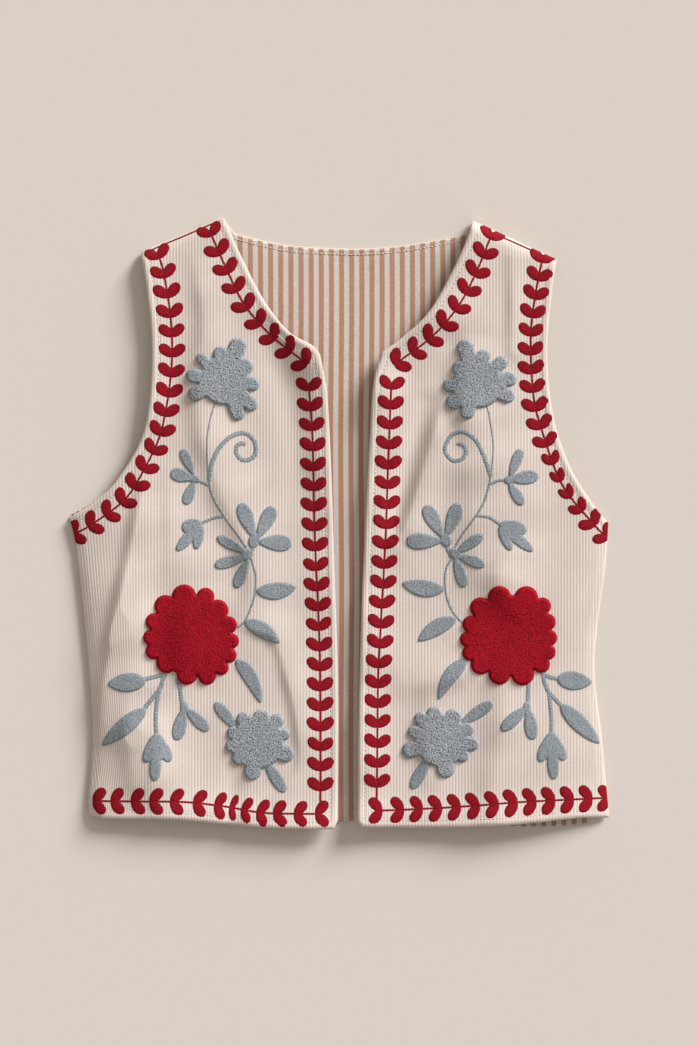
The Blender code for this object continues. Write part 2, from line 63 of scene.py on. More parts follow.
# Floor and light. A plain pale floor, one broad soft lamp low beyond the neck and to the right, and an even
# sky, which leave a soft shadow below the hem and to the left of the side.
FLOOR_SIZE, FLOOR_LEVEL = 6.0, -0.0002  # just under the back's ribs
FLOOR_COLOUR = (0.735, 0.673, 0.615)
SKY_COLOUR, SKY_STRENGTH = (1, 0.94, 0.87), 0.405
LAMP_FROM = (0.66, 0.65, 0.374)
LAMP_STRENGTH = 4.62
LAMP_SPREAD = 24  # degrees across, as seen from the cloth
half = FLOOR_SIZE / 2
floor_mesh = bpy.data.meshes.new("floor")
floor_corners = [(-half, -half, 0), (half, -half, 0), (half, half, 0), (-half, half, 0)]
floor_mesh.from_pydata(floor_corners, [], [(0, 1, 2, 3)])
floor = bpy.data.objects.new("floor", floor_mesh)
floor.location.z = FLOOR_LEVEL
bpy.context.scene.collection.objects.link(floor)
paper = bpy.data.materials.new("floor_paper")
paper.use_nodes = True
paper_inputs = paper.node_tree.nodes["Principled BSDF"].inputs
paper_inputs["Base Color"].default_value = (*FLOOR_COLOUR, 1)
paper_inputs["Roughness"].default_value = 0.95
paper_inputs["Specular IOR Level"].default_value = 0.1
floor_mesh.materials.append(paper)
lamp_data = bpy.data.lights.new("lamp", "SUN")
lamp_data.energy = LAMP_STRENGTH
lamp_data.angle = math.radians(LAMP_SPREAD)
lamp = bpy.data.objects.new("lamp", lamp_data)
lamp.rotation_euler = Vector(LAMP_FROM).to_track_quat("Z", "Y").to_euler()
bpy.context.scene.collection.objects.link(lamp)
sky = bpy.data.worlds.new("sky")
sky.use_nodes = True
sky_inputs = sky.node_tree.nodes["Background"].inputs
sky_inputs["Color"].default_value = (*SKY_COLOUR, 1)
sky_inputs["Strength"].default_value = SKY_STRENGTH
bpy.context.scene.world = sky
bpy.context.scene.view_settings.view_transform = "Standard"


# Fronts. Two panels of cream cotton corduroy with ribs up the garment, made up with their lining, turned
# out and topstitched inside every open edge. Each is sewn to the back at its side and shoulder, and lies on
# the back lining with a little air and soft folds under it. All embroidery sits on this form.
LEFT_EDGES = [
    # stretch, sewn to the back, points (x, y)
    ("shoulder", True, [(-172, 236), (-166.5, 239.5), (-136, 252), (-104.5, 265.5)]),
    ("neck", False, [(-100, 265.8), (-93.8, 252.8), (-85.2, 233.2), (-65, 194), (-43.5, 166.5), (-22.5, 154),
                     (-16, 146.2)]),
    ("front", False, [(-16, 146.2), (-10, 112.2), (-6.6, 52), (-3.6, -40), (-0.4, -140), (-0.4, -220),
                      (-0.9, -259)]),
    ("hem", False, [(-4, -265.7), (-22.7, -266), (-62.5, -264.7), (-102.5, -261.3), (-142.5, -257.7),
                    (-202.4, -257.3)]),
    ("side", True, [(-217.4, -254.6), (-218.4, -242), (-214.6, -180), (-220.4, -100), (-229.2, -20),
                    (-233.4, 0)]),
    ("armhole", False, [(-235.7, 3.7), (-213.2, 18.6), (-195, 34.5), (-173.1, 69.7), (-164.3, 107),
                        (-162.5, 156.6), (-167, 204.5), (-172, 236)]),
]
RIGHT_EDGES = [
    ("shoulder", True, [(117, 263.5), (134.3, 255.8), (177.6, 235.5), (190, 230)]),
    ("armhole", False, [(190, 230), (186.2, 205.6), (181.5, 150), (186.2, 96), (200.4, 51), (221, 17),
                        (235.1, 0)]),
    ("side", True, [(235.1, 0), (232.3, -40), (223.2, -120), (229.8, -191), (235.7, -255.5)]),
    ("hem", False, [(235.1, -256.7), (206, -256.8), (166.2, -260.7), (126.2, -263.3), (86.3, -264.7),
                    (46.3, -264.7), (20.4, -264)]),
    ("front", False, [(16.4, -259.3), (16.6, -215), (18, -140), (21.2, -40), (26.4, 64.5), (30.2, 121),
                      (38.1, 148.9)]),
    ("neck", False, [(38.1, 148.9), (55.2, 161.2), (79.5, 184.8), (100.4, 222.3), (112.6, 249.7),
                     (117, 263.5)]),
]
EDGES = {"left": LEFT_EDGES, "right": RIGHT_EDGES}
BACK_TOP, LINING_UNDER, LINING_TOP = 1.6, 1.9, 2.8
CLOTH_THICK = 2.2
LEAST_LIFT, REST_LIFT, MOST_LIFT = 0.3, 4.4, 13.0
SEAM_EASE = {"left": (3.5, 12.0), "right": (3.5, 24.0)}  # how slowly the lift starts: shoulder, side
SEAM_SLOPE = 8.0  # width in which a front climbs from the back onto the lining
RIPPLE = 0.35  # height of the small unevenness all over a front
FOLDS = [
    # front, crest (x, y, height), steep side's width, long side's width; the steep side lies to the right of
    # the way that the crest is listed
    ("left", [(-169, 30, 3), (-182, -37, 6.6), (-196, -105, 7.4), (-206, -155, 5.5),
              (-208, -200, 2)], 7.5, 34),
    ("left", [(-146, 45, 0.6), (-145, -5, 1.4), (-147, -45, 0.6)], 8, 18),
    ("left", [(-121, 118, 2.4), (-116, 71, 3.8), (-99, 24, 3.9), (-82, -10, 3.7), (-74, -56, 3),
              (-82, -88, 1.4)], 12, 26),
    ("left", [(-88, -86, 1.2), (-68, -93, 2.8), (-54, -101, 2.8), (-42, -140, 2.4), (-35, -174, 2.4),
              (-33, -213, 2), (-52, -238, 1)], 6, 18),
    ("left", [(-176, -145, 2), (-180, -180, 4), (-176, -225, 3.4)], 13, 22),
    ("left", [(-146, -150, 2.2), (-150, -200, 3.8), (-155, -245, 2.8)], 14, 22),
    ("left", [(-120, 216, 1.5), (-116, 180, 3), (-118, 150, 3), (-126, 126, 1.5)], 9, 20),
    ("left", [(-70, 200, 2), (-46, 176, 5), (-26, 158, 7), (-16, 130, 7), (-13, 90, 5.5), (-10, 20, 3),
              (-6, -60, 1.5)], 24, 30),
    ("left", [(-180, 10, 0.5), (-192, -50, 1.6), (-202, -110, 1.6), (-208, -165, 1)], 26, 8),
    ("left", [(-172, 236, 1.5), (-164, 156, 3), (-165, 107, 3), (-179, 65, 2.4), (-200, 32, 1)], 15, 15),
    ("left", [(-60, 166, -2), (-44, 122, -3), (-35, 70, -2.5), (-30, 20, -1)], 15, 15),
    ("left", [(-162, -150, 2), (-160, -190, 3.4), (-168, -235, 2)], 26, 12),
    ("left", [(-136, -145, 2), (-129, -97, 5), (-127, -50, 2)], 46, 19),
    ("left", [(-208, -258, 4.6), (-100, -263, 5), (-15, -267, 4.8)], 20, 20),
    ("left", [(-91, -276, -1.8), (-92, -214, -1)], 10, 10),
    ("right", [(118, 264, 8.5), (100, 222, 6.5), (79, 185, 6), (55, 161, 5.5), (38, 149, 6), (30, 121, 5.5),
               (26, 64, 3), (21, -40, 2.6), (18, -140, 4), (16.5, -255, 4.4)], 20, 24),
    ("right", [(20, -266, 4), (120, -264, 4.8), (230, -258, 3.6)], 20, 20),
    ("right", [(92, 104, 2), (77, 53, 4), (62, 4, 3.8), (52, -17, 1.5)], 7, 22),
    ("right", [(116, 164, 2), (111, 125, 5.6), (112, 92, 5.8), (114, 60, 5), (117, 30, 4.6), (121, -10, 4),
               (124, -42, 2.5)], 19, 36),
    ("right", [(146, -30, 2), (142, -52, 3.5), (150, -70, 2)], 14, 26),
    ("right", [(60, -138, 2), (104, -130, 4), (122, -106, 2.4)], 13, 20),
    ("right", [(80, -160, 2), (78, -190, 3), (80, -215, 2)], 12, 24),
    ("right", [(146, -145, 2.6), (142, -188, 4.6), (135, -240, 3.6)], 16, 40),
    ("right", [(151, 230, 1.5), (152, 190, 2.2), (151, 150, 1.2)], 6, 10),
    ("right", [(76, 104, -1.5), (62, 50, -2.6), (49, -2, -1.5)], 9, 9),
    ("right", [(98, 152, -2), (94, 112, -2.6), (104, 66, -2)], 12, 12),
    ("right", [(160, 84, 1), (158, 20, 2.6), (156, -40, 1)], 40, 26),
    ("right", [(204, -276, 1.6), (202, -170, 0.6)], 30, 30),
]


def smooth_line(points, step):
    """A Catmull-Rom curve through the points: each span is a cubic of its four nearest points."""
    p = np.array(points, float)
    p = np.vstack([2 * p[0] - p[1], p, 2 * p[-1] - p[-2]])
    line = [p[1]]
    for a, b, c, d in zip(p[:-3], p[1:-2], p[2:-1], p[3:]):
        count = max(1, round(float(np.linalg.norm(c - b)) / step))
        t = (np.arange(1, count + 1) / count)[:, None]
        bend = (2 * a - 5 * b + 4 * c - d) * t**2
        sway = (3 * b - a - 3 * c + d) * t**3
        line.extend(0.5 * (2 * b + (c - a) * t + bend + sway))
    return np.array(line)


def closed(loop):
    """The outline as a line that ends where it starts."""
    return np.vstack([loop, loop[:1]])


def nearest(x, y, line):
    """The least distance of each place from an open line, with the nearest point and the number of its span:
    the place is projected onto every span, in batches that keep the arrays small."""
    (ax, ay), (bx, by) = line[:-1].T, line[1:].T
    dx, dy = bx - ax, by - ay
    away, foot_x, foot_y = (np.empty(len(x)) for _ in range(3))
    span = np.empty(len(x), int)
    batch = 6000
    for first in range(0, len(x), batch):
        part = slice(first, first + batch)
        px, py = x[part, None], y[part, None]
        t = np.clip(((px - ax) * dx + (py - ay) * dy) / (dx * dx + dy * dy), 0, 1)
        gap = np.hypot(px - ax - t * dx, py - ay - t * dy)
        best = gap.argmin(axis=1)
        rows = np.arange(len(best))
        away[part], span[part] = gap[rows, best], best
        foot_x[part] = ax[best] + t[rows, best] * dx[best]
        foot_y[part] = ay[best] + t[rows, best] * dy[best]
    return away, foot_x, foot_y, span


SAME_POINT = 0.2


def outline_of(edges, step):
    """The panel's closed outline, stretch after stretch, without the points that two stretches share."""
    loop = np.vstack([smooth_line(points, step) for _, _, points in edges])
    keep = np.hypot(*(loop - np.roll(loop, 1, axis=0)).T) > SAME_POINT
    return loop[keep]


ROUGH_STEP = 6  # between the points of lines that only distances are taken from
SEAMS = {side: [smooth_line(points, ROUGH_STEP) for _, sewn, points in EDGES[side] if sewn] for side in EDGES}


def cloth_under(side, x, y):
    """The underside of a front: the back's top at its seams, the lining's top inside them, and over that
    the rest lift plus each fold, its crest's height times exp(-(distance / width) squared), where the width
    turns from the steep one to the long one round the crest. A fold's height swells and sinks by up to 26%
    in two slow waves, a ripple of crossed sines lies over all, and everything is eased to nothing at the
    seams."""
    from_seams = [nearest(x, y, line)[0] for line in SEAMS[side]]
    from_seam = np.min(from_seams, axis=0)
    lift = np.full(len(x), REST_LIFT)
    uneven = 1 + 0.16 * np.sin(y / 17 + x / 31) + 0.10 * np.sin(y / 7.3 - x / 23)
    for front, crest, steep, long in FOLDS:
        if front == side:
            line = smooth_line(crest, ROUGH_STEP)
            away, foot_x, foot_y, span = nearest(x, y, line[:, :2])
            way = np.diff(line[:, :2], axis=0)[span]
            length = np.hypot(*way.T)
            turn = (way[:, 0] * (y - foot_y) - way[:, 1] * (x - foot_x)) / length / np.maximum(away, 0.01)
            share = np.hypot(foot_x - line[span, 0], foot_y - line[span, 1]) / length
            rise = line[span, 2] + share * (line[span + 1, 2] - line[span, 2])
            width = (steep + long) / 2 + (long - steep) / 2 * np.clip(turn, -1, 1)
            lift = lift + rise * uneven * np.exp(-((away / width) ** 2))
    lift = lift + RIPPLE * np.sin(x / 13 + y / 37) * np.sin(y / 29 - x / 61 + 1)
    lift = np.clip(lift, LEAST_LIFT, MOST_LIFT)
    for away, ease in zip(from_seams, SEAM_EASE[side]):
        lift = lift * (1 - np.exp(-away / ease))
    return LINING_UNDER + np.clip(from_seam / SEAM_SLOPE, 0, 1) * (LINING_TOP - LINING_UNDER) + lift


def cloth_top(side, x, y):
    """The bottom of the ribs on a front's outside: its underside plus the cloth's thickness."""
    return cloth_under(side, x, y) + CLOTH_THICK


def filled(loop, columns, rows, lean=None):
    """Points and quads of a net of rows and columns inside the loop. Points just outside are drawn onto the
    outline, so that its edge is smooth. A lean, given u and y, moves a column's points sideways."""
    u, y = np.meshgrid(columns, rows)
    x = u + lean(u, y) if lean else u.copy()
    inside = np.zeros(x.shape, bool)
    for (x1, y1), (x2, y2) in zip(loop, np.roll(loop, -1, axis=0)):
        crossed = np.nonzero((y1 > rows) != (y2 > rows))[0]
        if len(crossed):
            reach = x1 + (rows[crossed] - y1) * (x2 - x1) / (y2 - y1)
            inside[crossed] ^= x[crossed] < reach[:, None]
    cells = inside[:-1, :-1] | inside[1:, :-1] | inside[:-1, 1:] | inside[1:, 1:]
    number = np.arange(x.size).reshape(x.shape)
    corners = [number[:-1, :-1], number[:-1, 1:], number[1:, 1:], number[1:, :-1]]
    quads = np.stack([corner[cells] for corner in corners], axis=1)
    used, quads = np.unique(quads, return_inverse=True)
    quads = quads.reshape(-1, 4)
    x, y, u, inside = x.ravel()[used], y.ravel()[used], u.ravel()[used], inside.ravel()[used]
    outer = ~inside
    _, x[outer], y[outer], _ = nearest(x[outer], y[outer], closed(loop))
    return x, y, u, quads


def rim_of(quads):
    """The net's edges that only one quad has, in that quad's direction."""
    ends = np.concatenate([quads[:, [k, (k + 1) % 4]] for k in range(4)])
    key = np.sort(ends, axis=1)
    _, first, count = np.unique(key, axis=0, return_index=True, return_counts=True)
    return ends[first[count == 1]]


def hand_of(loop):
    """1 for an outline that runs round to the left and -1 for one to the right: the sign of its area."""
    ahead = np.roll(loop, -1, axis=0)
    return math.copysign(1, float((loop[:, 0] * ahead[:, 1] - loop[:, 1] * ahead[:, 0]).sum()))


def with_rings(x, y, z, quads, loop, rings):
    """The net with rings of quads hung from its rim. A ring gives how far in and how far down it lies from
    the rim, along the outline's own inward direction."""
    rim = rim_of(quads)
    own, ends = np.unique(rim, return_inverse=True)
    ends = ends.reshape(-1, 2)
    span = nearest(x[own], y[own], closed(loop))[3]
    way = np.diff(closed(loop), axis=0)[span]
    way = way / np.hypot(*way.T)[:, None]
    inward = np.column_stack([-way[:, 1], way[:, 0]]) * hand_of(loop)
    xs, ys, zs, faces = [x], [y], [z], [quads]
    above, first = own, len(x)
    for depth, drop in rings:
        xs.append(x[own] + inward[:, 0] * depth)
        ys.append(y[own] + inward[:, 1] * depth)
        zs.append(z[own] - drop)
        below = first + np.arange(len(own))
        near, far = ends.T
        faces.append(np.stack([above[far], above[near], below[near], below[far]], axis=1))
        above, first = below, first + len(own)
    return np.concatenate(xs), np.concatenate(ys), np.concatenate(zs), np.vstack(faces), own


def piece_from(name, x, y, z, quads, material, values):
    """An object at the origin from whole arrays in millimetres, smooth-shaded, with one value a point for
    each named attribute that its material reads."""
    mesh = bpy.data.meshes.new(name)
    quads = np.asarray(quads)
    mesh.vertices.add(len(x))
    mesh.vertices.foreach_set("co", (np.column_stack([x, y, z]) * 0.001).ravel())
    mesh.loops.add(quads.size)
    mesh.loops.foreach_set("vertex_index", quads.ravel())
    mesh.polygons.add(len(quads))
    mesh.polygons.foreach_set("loop_start", np.arange(0, quads.size, quads.shape[1]))
    mesh.update(calc_edges=True)
    mesh.validate()
    mesh.polygons.foreach_set("use_smooth", np.ones(len(mesh.polygons), bool))
    for key, value in values.items():
        mesh.attributes.new(key, "FLOAT", "POINT").data.foreach_set("value", np.asarray(value, np.float32))
    mesh.materials.append(material)
    made = bpy.data.objects.new(name, mesh)
    bpy.context.scene.collection.objects.link(made)
    return made


def speckle_group():
    """A node group for every cloth and yarn, with two noises of the object's own coordinates, both 0 to 1:
    a fine one for the fibres and a slow one for the mottling of the dye."""
    group = bpy.data.node_groups.new("yarn_speckle", "ShaderNodeTree")
    group.interface.new_socket("Fine Scale", in_out="INPUT", socket_type="NodeSocketFloat")
    group.interface.new_socket("Fine", in_out="OUTPUT", socket_type="NodeSocketFloat")
    group.interface.new_socket("Slow", in_out="OUTPUT", socket_type="NodeSocketFloat")
    nodes, links = group.nodes, group.links
    given, out = nodes.new("NodeGroupInput"), nodes.new("NodeGroupOutput")
    place = nodes.new("ShaderNodeTexCoord")
    fine, slow = nodes.new("ShaderNodeTexNoise"), nodes.new("ShaderNodeTexNoise")
    fine.inputs["Detail"].default_value = 1.0
    slow.inputs["Scale"].default_value = 38.0
    slow.inputs["Detail"].default_value = 3.0
    for noise in (fine, slow):
        links.new(place.outputs["Object"], noise.inputs["Vector"])
    links.new(given.outputs["Fine Scale"], fine.inputs["Scale"])
    links.new(fine.outputs["Fac"], out.inputs["Fine"])
    links.new(slow.outputs["Fac"], out.inputs["Slow"])
    return group


SPECKLE = speckle_group()


def ranged(nodes, links, value, reach, result, kind="LINEAR"):
    """The value, stretched from one (low, high) to the other by a Map Range node."""
    node = nodes.new("ShaderNodeMapRange")
    for name, number in zip(("From Min", "From Max", "To Min", "To Max"), (*reach, *result)):
        node.inputs[name].default_value = number
    node.interpolation_type = kind
    links.new(value, node.inputs["Value"])
    return node.outputs["Result"]


def maths(nodes, links, kind, first, second=0):
    """A Math node of that kind over two sockets or numbers."""
    node = nodes.new("ShaderNodeMath")
    node.operation = kind
    for k, value in enumerate((first, second)):
        if isinstance(value, (int, float)):
            node.inputs[k].default_value = value
        else:
            links.new(value, node.inputs[k])
    return node.outputs[0]


def mixed(nodes, links, share, low, high):
    """The colour from low to high at that share."""
    node = nodes.new("ShaderNodeMix")
    node.data_type = "RGBA"
    node.inputs[6].default_value = (*low, 1)
    node.inputs[7].default_value = (*high, 1)
    links.new(share, node.inputs[0])
    return node.outputs[2]


def cloth_base(name, roughness, specular, sheen, fine_scale):
    """A new material with these values on its shader, and the speckle with its fibres that fine."""
    made = bpy.data.materials.new(name)
    made.use_nodes = True
    nodes, links = made.node_tree.nodes, made.node_tree.links
    shader = nodes["Principled BSDF"]
    shader.inputs["Roughness"].default_value = roughness
    shader.inputs["Specular IOR Level"].default_value = specular
    shader.inputs["Sheen Weight"].default_value = sheen
    speckle = nodes.new("ShaderNodeGroup")
    speckle.node_tree = SPECKLE
    speckle.inputs["Fine Scale"].default_value = fine_scale
    return made, nodes, links, shader, speckle


def grained(nodes, links, shader, speckle, colour, grain, depth, strength):
    """The shader gets that colour times the grain, and a bump of that depth in metres from the fine
    speckle."""
    scaled = nodes.new("ShaderNodeVectorMath")
    scaled.operation = "SCALE"
    links.new(colour, scaled.inputs[0])
    links.new(grain, scaled.inputs["Scale"])
    links.new(scaled.outputs["Vector"], shader.inputs["Base Color"])
    bump = nodes.new("ShaderNodeBump")
    bump.inputs["Distance"].default_value = depth
    bump.inputs["Strength"].default_value = strength
    links.new(speckle.outputs["Fine"], bump.inputs["Height"])
    links.new(bump.outputs["Normal"], shader.inputs["Normal"])


PILE_ROUGHNESS, PILE_SPECULAR, SHEEN_ROUGHNESS, PILE_BUMP = 0.92, 0.15, 0.5, 0.6
NOISE_REACH = (0.3, 0.7)  # where most of a noise's values lie
MOTTLE = (0.96, 1.04)


def pile_material(name, value, low, high, fine_scale, sheen, sheen_tint, depth, fleck=0.14):
    """A cloth whose colour runs from low in its gaps to high on its crests, by the named attribute, times 1
    plus or minus the fleck by the fine speckle, with a soft sheen. The low colour is painted shade: it
    darkens the gaps and grooves where shade falls."""
    made, nodes, links, shader, speckle = cloth_base(name, PILE_ROUGHNESS, PILE_SPECULAR, sheen, fine_scale)
    shader.inputs["Sheen Roughness"].default_value = SHEEN_ROUGHNESS
    shader.inputs["Sheen Tint"].default_value = (*sheen_tint, 1)
    crest = nodes.new("ShaderNodeAttribute")
    crest.attribute_name = value
    colour = mixed(nodes, links, crest.outputs["Fac"], low, high)
    fine = ranged(nodes, links, speckle.outputs["Fine"], NOISE_REACH, (1 - fleck, 1 + fleck))
    slow = ranged(nodes, links, speckle.outputs["Slow"], NOISE_REACH, MOTTLE)
    grain = maths(nodes, links, "MULTIPLY", fine, slow)
    grained(nodes, links, shader, speckle, colour, grain, depth, PILE_BUMP)
    return made


RIB_PITCH, RIB_HEIGHT = 2.7, 0.27
RIB_PLACES = (0.0, 0.33, 0.5, 0.67)  # of one pitch: crest, shoulder, groove, shoulder
RIB_LEVELS = (1.0, 0.72, 0.0, 0.72)
ROW_STEP = 2.0
EDGE_ROUND = 2.0
STITCH_IN = 6.5
GROOVE_DEPTH, GROOVE_WIDTH = 0.40, 1.1  # where the topstitching pulls the cloth down
PUFF_HEIGHT, PUFF_IN, PUFF_WIDTH = 0.25, 3.6, 1.8  # where the turned edge stands up outside it
UNDER_EDGE = [(0.2, 0.7), (1.0, 1.05), (4.0, 1.1), (9.0, 1.1)]  # how far in and down the hidden band runs
LEAN, LEAN_FROM, LEAN_WIDTH = 0.115, -172, 62
# painted shade: the groove colour is darker than the crest colour, so the grooves between the ribs are
# darkened
corduroy = pile_material("corduroy_cloth", "rib", (0.635, 0.525, 0.457), (0.718, 0.625, 0.575), 1300, 0.13,
                         (1.0, 0.96, 0.92), 0.00014, 0.06)


def left_lean(u, y):
    """How far the ribs beside the left side seam lean with the cloth: LEAN times y, times a share that
    rises from 0 at the column LEAN_FROM to 1 at LEAN_WIDTH farther out."""
    return -LEAN * np.clip((LEAN_FROM - u) / LEAN_WIDTH, 0, 1) * y


def rib_columns(low, high):
    """Every column of a ribbed net, with its height as a share of the rib's, repeated at each pitch."""
    count = int((high - low) / RIB_PITCH) + 3
    first = RIB_PITCH * (math.floor(low / RIB_PITCH) - 1)
    columns = (first + RIB_PITCH * (np.arange(count)[:, None] + np.array(RIB_PLACES))).ravel()
    return columns, np.tile(RIB_LEVELS, count)


def height_at(u, columns, levels):
    """The rib height of each place's own column."""
    return levels[np.searchsorted(columns, u - 0.01)]


def front_cloth(side, lean):
    """One front's mesh: its net in the outline, rounded down at the edge as the sine of a quarter turn,
    with ribs, a groove exp(-(distance / width) squared) deep along the topstitching, and a puff like it
    outside."""
    loop = outline_of(EDGES[side], 1.6)
    low, high = loop.min(axis=0), loop.max(axis=0)
    columns, levels = rib_columns(low[0] - 40, high[0] + 4)
    rows = np.arange(low[1] - ROW_STEP, high[1] + ROW_STEP * 2, ROW_STEP)
    x, y, u, quads = filled(loop, columns, rows, lean)
    rib = height_at(u, columns, levels)
    from_edge = nearest(x, y, closed(outline_of(EDGES[side], ROUGH_STEP)))[0]
    open_lines = [smooth_line(points, ROUGH_STEP) for _, sewn, points in EDGES[side] if not sewn]
    from_open = np.min([nearest(x, y, line)[0] for line in open_lines], axis=0)
    roll = np.sin(np.pi / 2 * np.clip(from_edge / EDGE_ROUND, 0, 1))
    groove = GROOVE_DEPTH * np.exp(-(((from_open - STITCH_IN) / GROOVE_WIDTH) ** 2))
    puff = PUFF_HEIGHT * np.exp(-(((from_open - PUFF_IN) / PUFF_WIDTH) ** 2))
    z = cloth_under(side, x, y) + CLOTH_THICK * (0.5 + 0.5 * roll) + RIB_HEIGHT * rib * roll - groove + puff
    x, y, z, quads, own = with_rings(x, y, z, quads, loop, UNDER_EDGE)
    # painted shade: the rib share, and with it the colour, is lowered on the rounded edge and lower still on
    # the band turned under it
    rib = np.concatenate([rib * (0.4 + 0.6 * roll)] + [0.3 * rib[own]] * len(UNDER_EDGE))
    return piece_from("front_cloth_" + side, x, y, z, quads, corduroy, {"rib": rib})


cloth = {"left": front_cloth("left", left_lean), "right": front_cloth("right", None)}
for side, flat, area in (("left", (0.243, 0.540), 0.0955), ("right", (0.222, 0.540), 0.0925)):
    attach(cloth[side], "root")
    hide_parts("front_" + side)


# Back. The same corduroy in one piece, face down, so its ribs are underneath and touch the floor. Its edges
# show at the left armhole, under the right front's hem and round the neck, where the lining is sewn in.
BACK_NECK = [(115.5, 260.2), (112.3, 253), (80, 246), (42, 240.6), (4, 239.4), (-47, 242.8), (-91.4, 253.3),
             (-98, 262)]
BACK_HEM = [(-216, -252.6), (-200, -254.5), (-142, -255.5), (-62, -261), (5, -260.8), (60, -261.2),
            (124, -263.6), (166, -265.7), (196, -264.6), (218, -262), (232.8, -255.2)]
BACK_INSET = 1.5
ARMHOLE_SHOW, SHOW_AT, SHOW_WIDTH = 1.6, (-222, 14), 22.0  # the back shows past the left armhole round here
LINING_SEAM_INSET, LINING_EDGE_INSET = 12.0, 1.0
BACK_ROW_STEP, BACK_EDGE_ROUND = 6.0, 1.5
RIB_SINK, EDGE_SINK = 0.5, 0.6  # how far the grooves and the rounded edge lie above the floor
OVER_EDGE = [(0.0, -0.25), (0.35, -0.7), (1.5, -0.95), (8.0, -0.9), (18.0, -0.8)]  # how far in and down


def inset(loop, depth):
    """The loop moved inwards by depth, one value or one for each point, along its corners' bisectors: depth
    over the cosine of half the corner, at most doubled."""
    before, after = loop - np.roll(loop, 1, axis=0), np.roll(loop, -1, axis=0) - loop
    normals = [np.column_stack([-way[:, 1], way[:, 0]]) / np.hypot(*way.T)[:, None]
               for way in (before, after)]
    bisector = (normals[0] + normals[1]) * hand_of(loop)
    length = np.hypot(*bisector.T)
    return loop + bisector / length[:, None] * (np.asarray(depth) / np.clip(length / 2, 0.5, 1))[..., None]


def back_loops():
    """The back's outline, inset from the fronts at the seams, and the lining's inside it. Past the left
    armhole the back shows by up to ARMHOLE_SHOW times exp(-(distance / SHOW_WIDTH) squared) round its
    middle."""
    left = {name: smooth_line(points, 8) for name, _, points in LEFT_EDGES}
    right = {name: smooth_line(points, 8) for name, _, points in RIGHT_EDGES}
    stretches = [
        ("edge", smooth_line(BACK_NECK, 8)), ("seam", left["shoulder"][::-1][1:-1]),
        ("armhole", left["armhole"][::-1]), ("seam", left["side"][::-1][1:-1]),
        ("edge", smooth_line(BACK_HEM, 8)),
        ("seam", right["side"][::-1][1:-1]), ("armhole", right["armhole"][::-1]),
        ("seam", right["shoulder"][::-1][1:-1])]
    loop = np.vstack([line for _, line in stretches])
    kinds = np.concatenate([[kind] * len(line) for kind, line in stretches])
    show = np.exp(-((loop - SHOW_AT) ** 2).sum(axis=1) / SHOW_WIDTH**2)
    depth = np.where(kinds == "armhole", BACK_INSET - (BACK_INSET + ARMHOLE_SHOW) * show, BACK_INSET)
    depth = np.where(kinds == "edge", 0.0, depth)
    back = inset(loop, depth)
    lining = inset(back, np.where(kinds == "seam", LINING_SEAM_INSET, LINING_EDGE_INSET))
    seams = SEAMS["left"] + SEAMS["right"]
    from_seam = np.min([nearest(*lining.T, line)[0] for line in seams], axis=0)
    return back, lining[from_seam > 0.9 * LINING_SEAM_INSET]


back_loop, lining_loop = back_loops()
low, high = back_loop.min(axis=0), back_loop.max(axis=0)
columns, levels = rib_columns(low[0] - 4, high[0] + 4)
x, y, u, quads = filled(back_loop, columns, np.arange(low[1] - 6, high[1] + 12, BACK_ROW_STEP))
rib = height_at(u, columns, levels)
roll = np.sin(np.pi / 2 * np.clip(nearest(x, y, closed(back_loop))[0] / BACK_EDGE_ROUND, 0, 1))
z = RIB_SINK * (1 - rib) + EDGE_SINK * (1 - roll)
x, y, z, quads, own = with_rings(x, y, z, quads[:, ::-1], back_loop, OVER_EDGE)
rib = np.concatenate([rib] + [rib[own]] * len(OVER_EDGE))
back = piece_from("back_cloth", x, y, np.minimum(z, BACK_TOP), quads, corduroy, {"rib": rib})
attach(back, "root")
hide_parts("back")


# Back lining. Plain-woven cotton in upright tan and cream stripes, 8.83 mm from one to the next, sewn to
# the back 5.2 mm inside its neck and hem edges. It lies flat with slight waves.
STRIPE_PITCH, STRIPE_BLUR = 8.83, 0.25  # blur: the sine's value at which a stripe is whole
STRIPE_WANDER, WANDER_PLACE = 0.0004, 24.0  # metres to each side, and radians a metre up the garment
CREAM, TAN = (0.70, 0.61, 0.555), (0.475, 0.268, 0.178)
COTTON = (0.85, 0.2, 0.12, 1100)  # roughness, specular, sheen, how fine the speckle is
SLUBS, WEAVE_BUMP = [(0.25, 0.75), (0.80, 1.16)], (0.0002, 0.5)  # speckle to brightness, depth and strength
SEWN_IN, SEAM_DEPTH, SEAM_WIDTH = 5.2, 0.3, 1.4
LINING_SINK = 0.35  # how far its middle lies below its highest wave
LINING_COLUMN, LINING_ROW = 2.4, 2.8


def striped_cotton():
    """Cream and tan cotton. A stripe is where the sine of the place across, which wanders a little by the
    sine of the place up, is above nothing, with blurred edges."""
    made, nodes, links, shader, speckle = cloth_base("striped_lining_cloth", *COTTON)
    place = nodes.new("ShaderNodeTexCoord")
    apart = nodes.new("ShaderNodeSeparateXYZ")
    links.new(place.outputs["Object"], apart.inputs[0])
    up = maths(nodes, links, "SINE", maths(nodes, links, "MULTIPLY", apart.outputs["Y"], WANDER_PLACE))
    wander = maths(nodes, links, "MULTIPLY", up, STRIPE_WANDER)
    across = maths(nodes, links, "ADD", apart.outputs["X"], wander)
    turns = maths(nodes, links, "MULTIPLY", across, 2000 * math.pi / STRIPE_PITCH)  # pitch: from mm to m
    sine = maths(nodes, links, "SINE", turns)
    band = ranged(nodes, links, sine, (-STRIPE_BLUR, STRIPE_BLUR), (0, 1), "SMOOTHSTEP")
    colour = mixed(nodes, links, band, CREAM, TAN)
    grain = ranged(nodes, links, speckle.outputs["Fine"], *SLUBS)
    grained(nodes, links, shader, speckle, colour, grain, *WEAVE_BUMP)
    return made


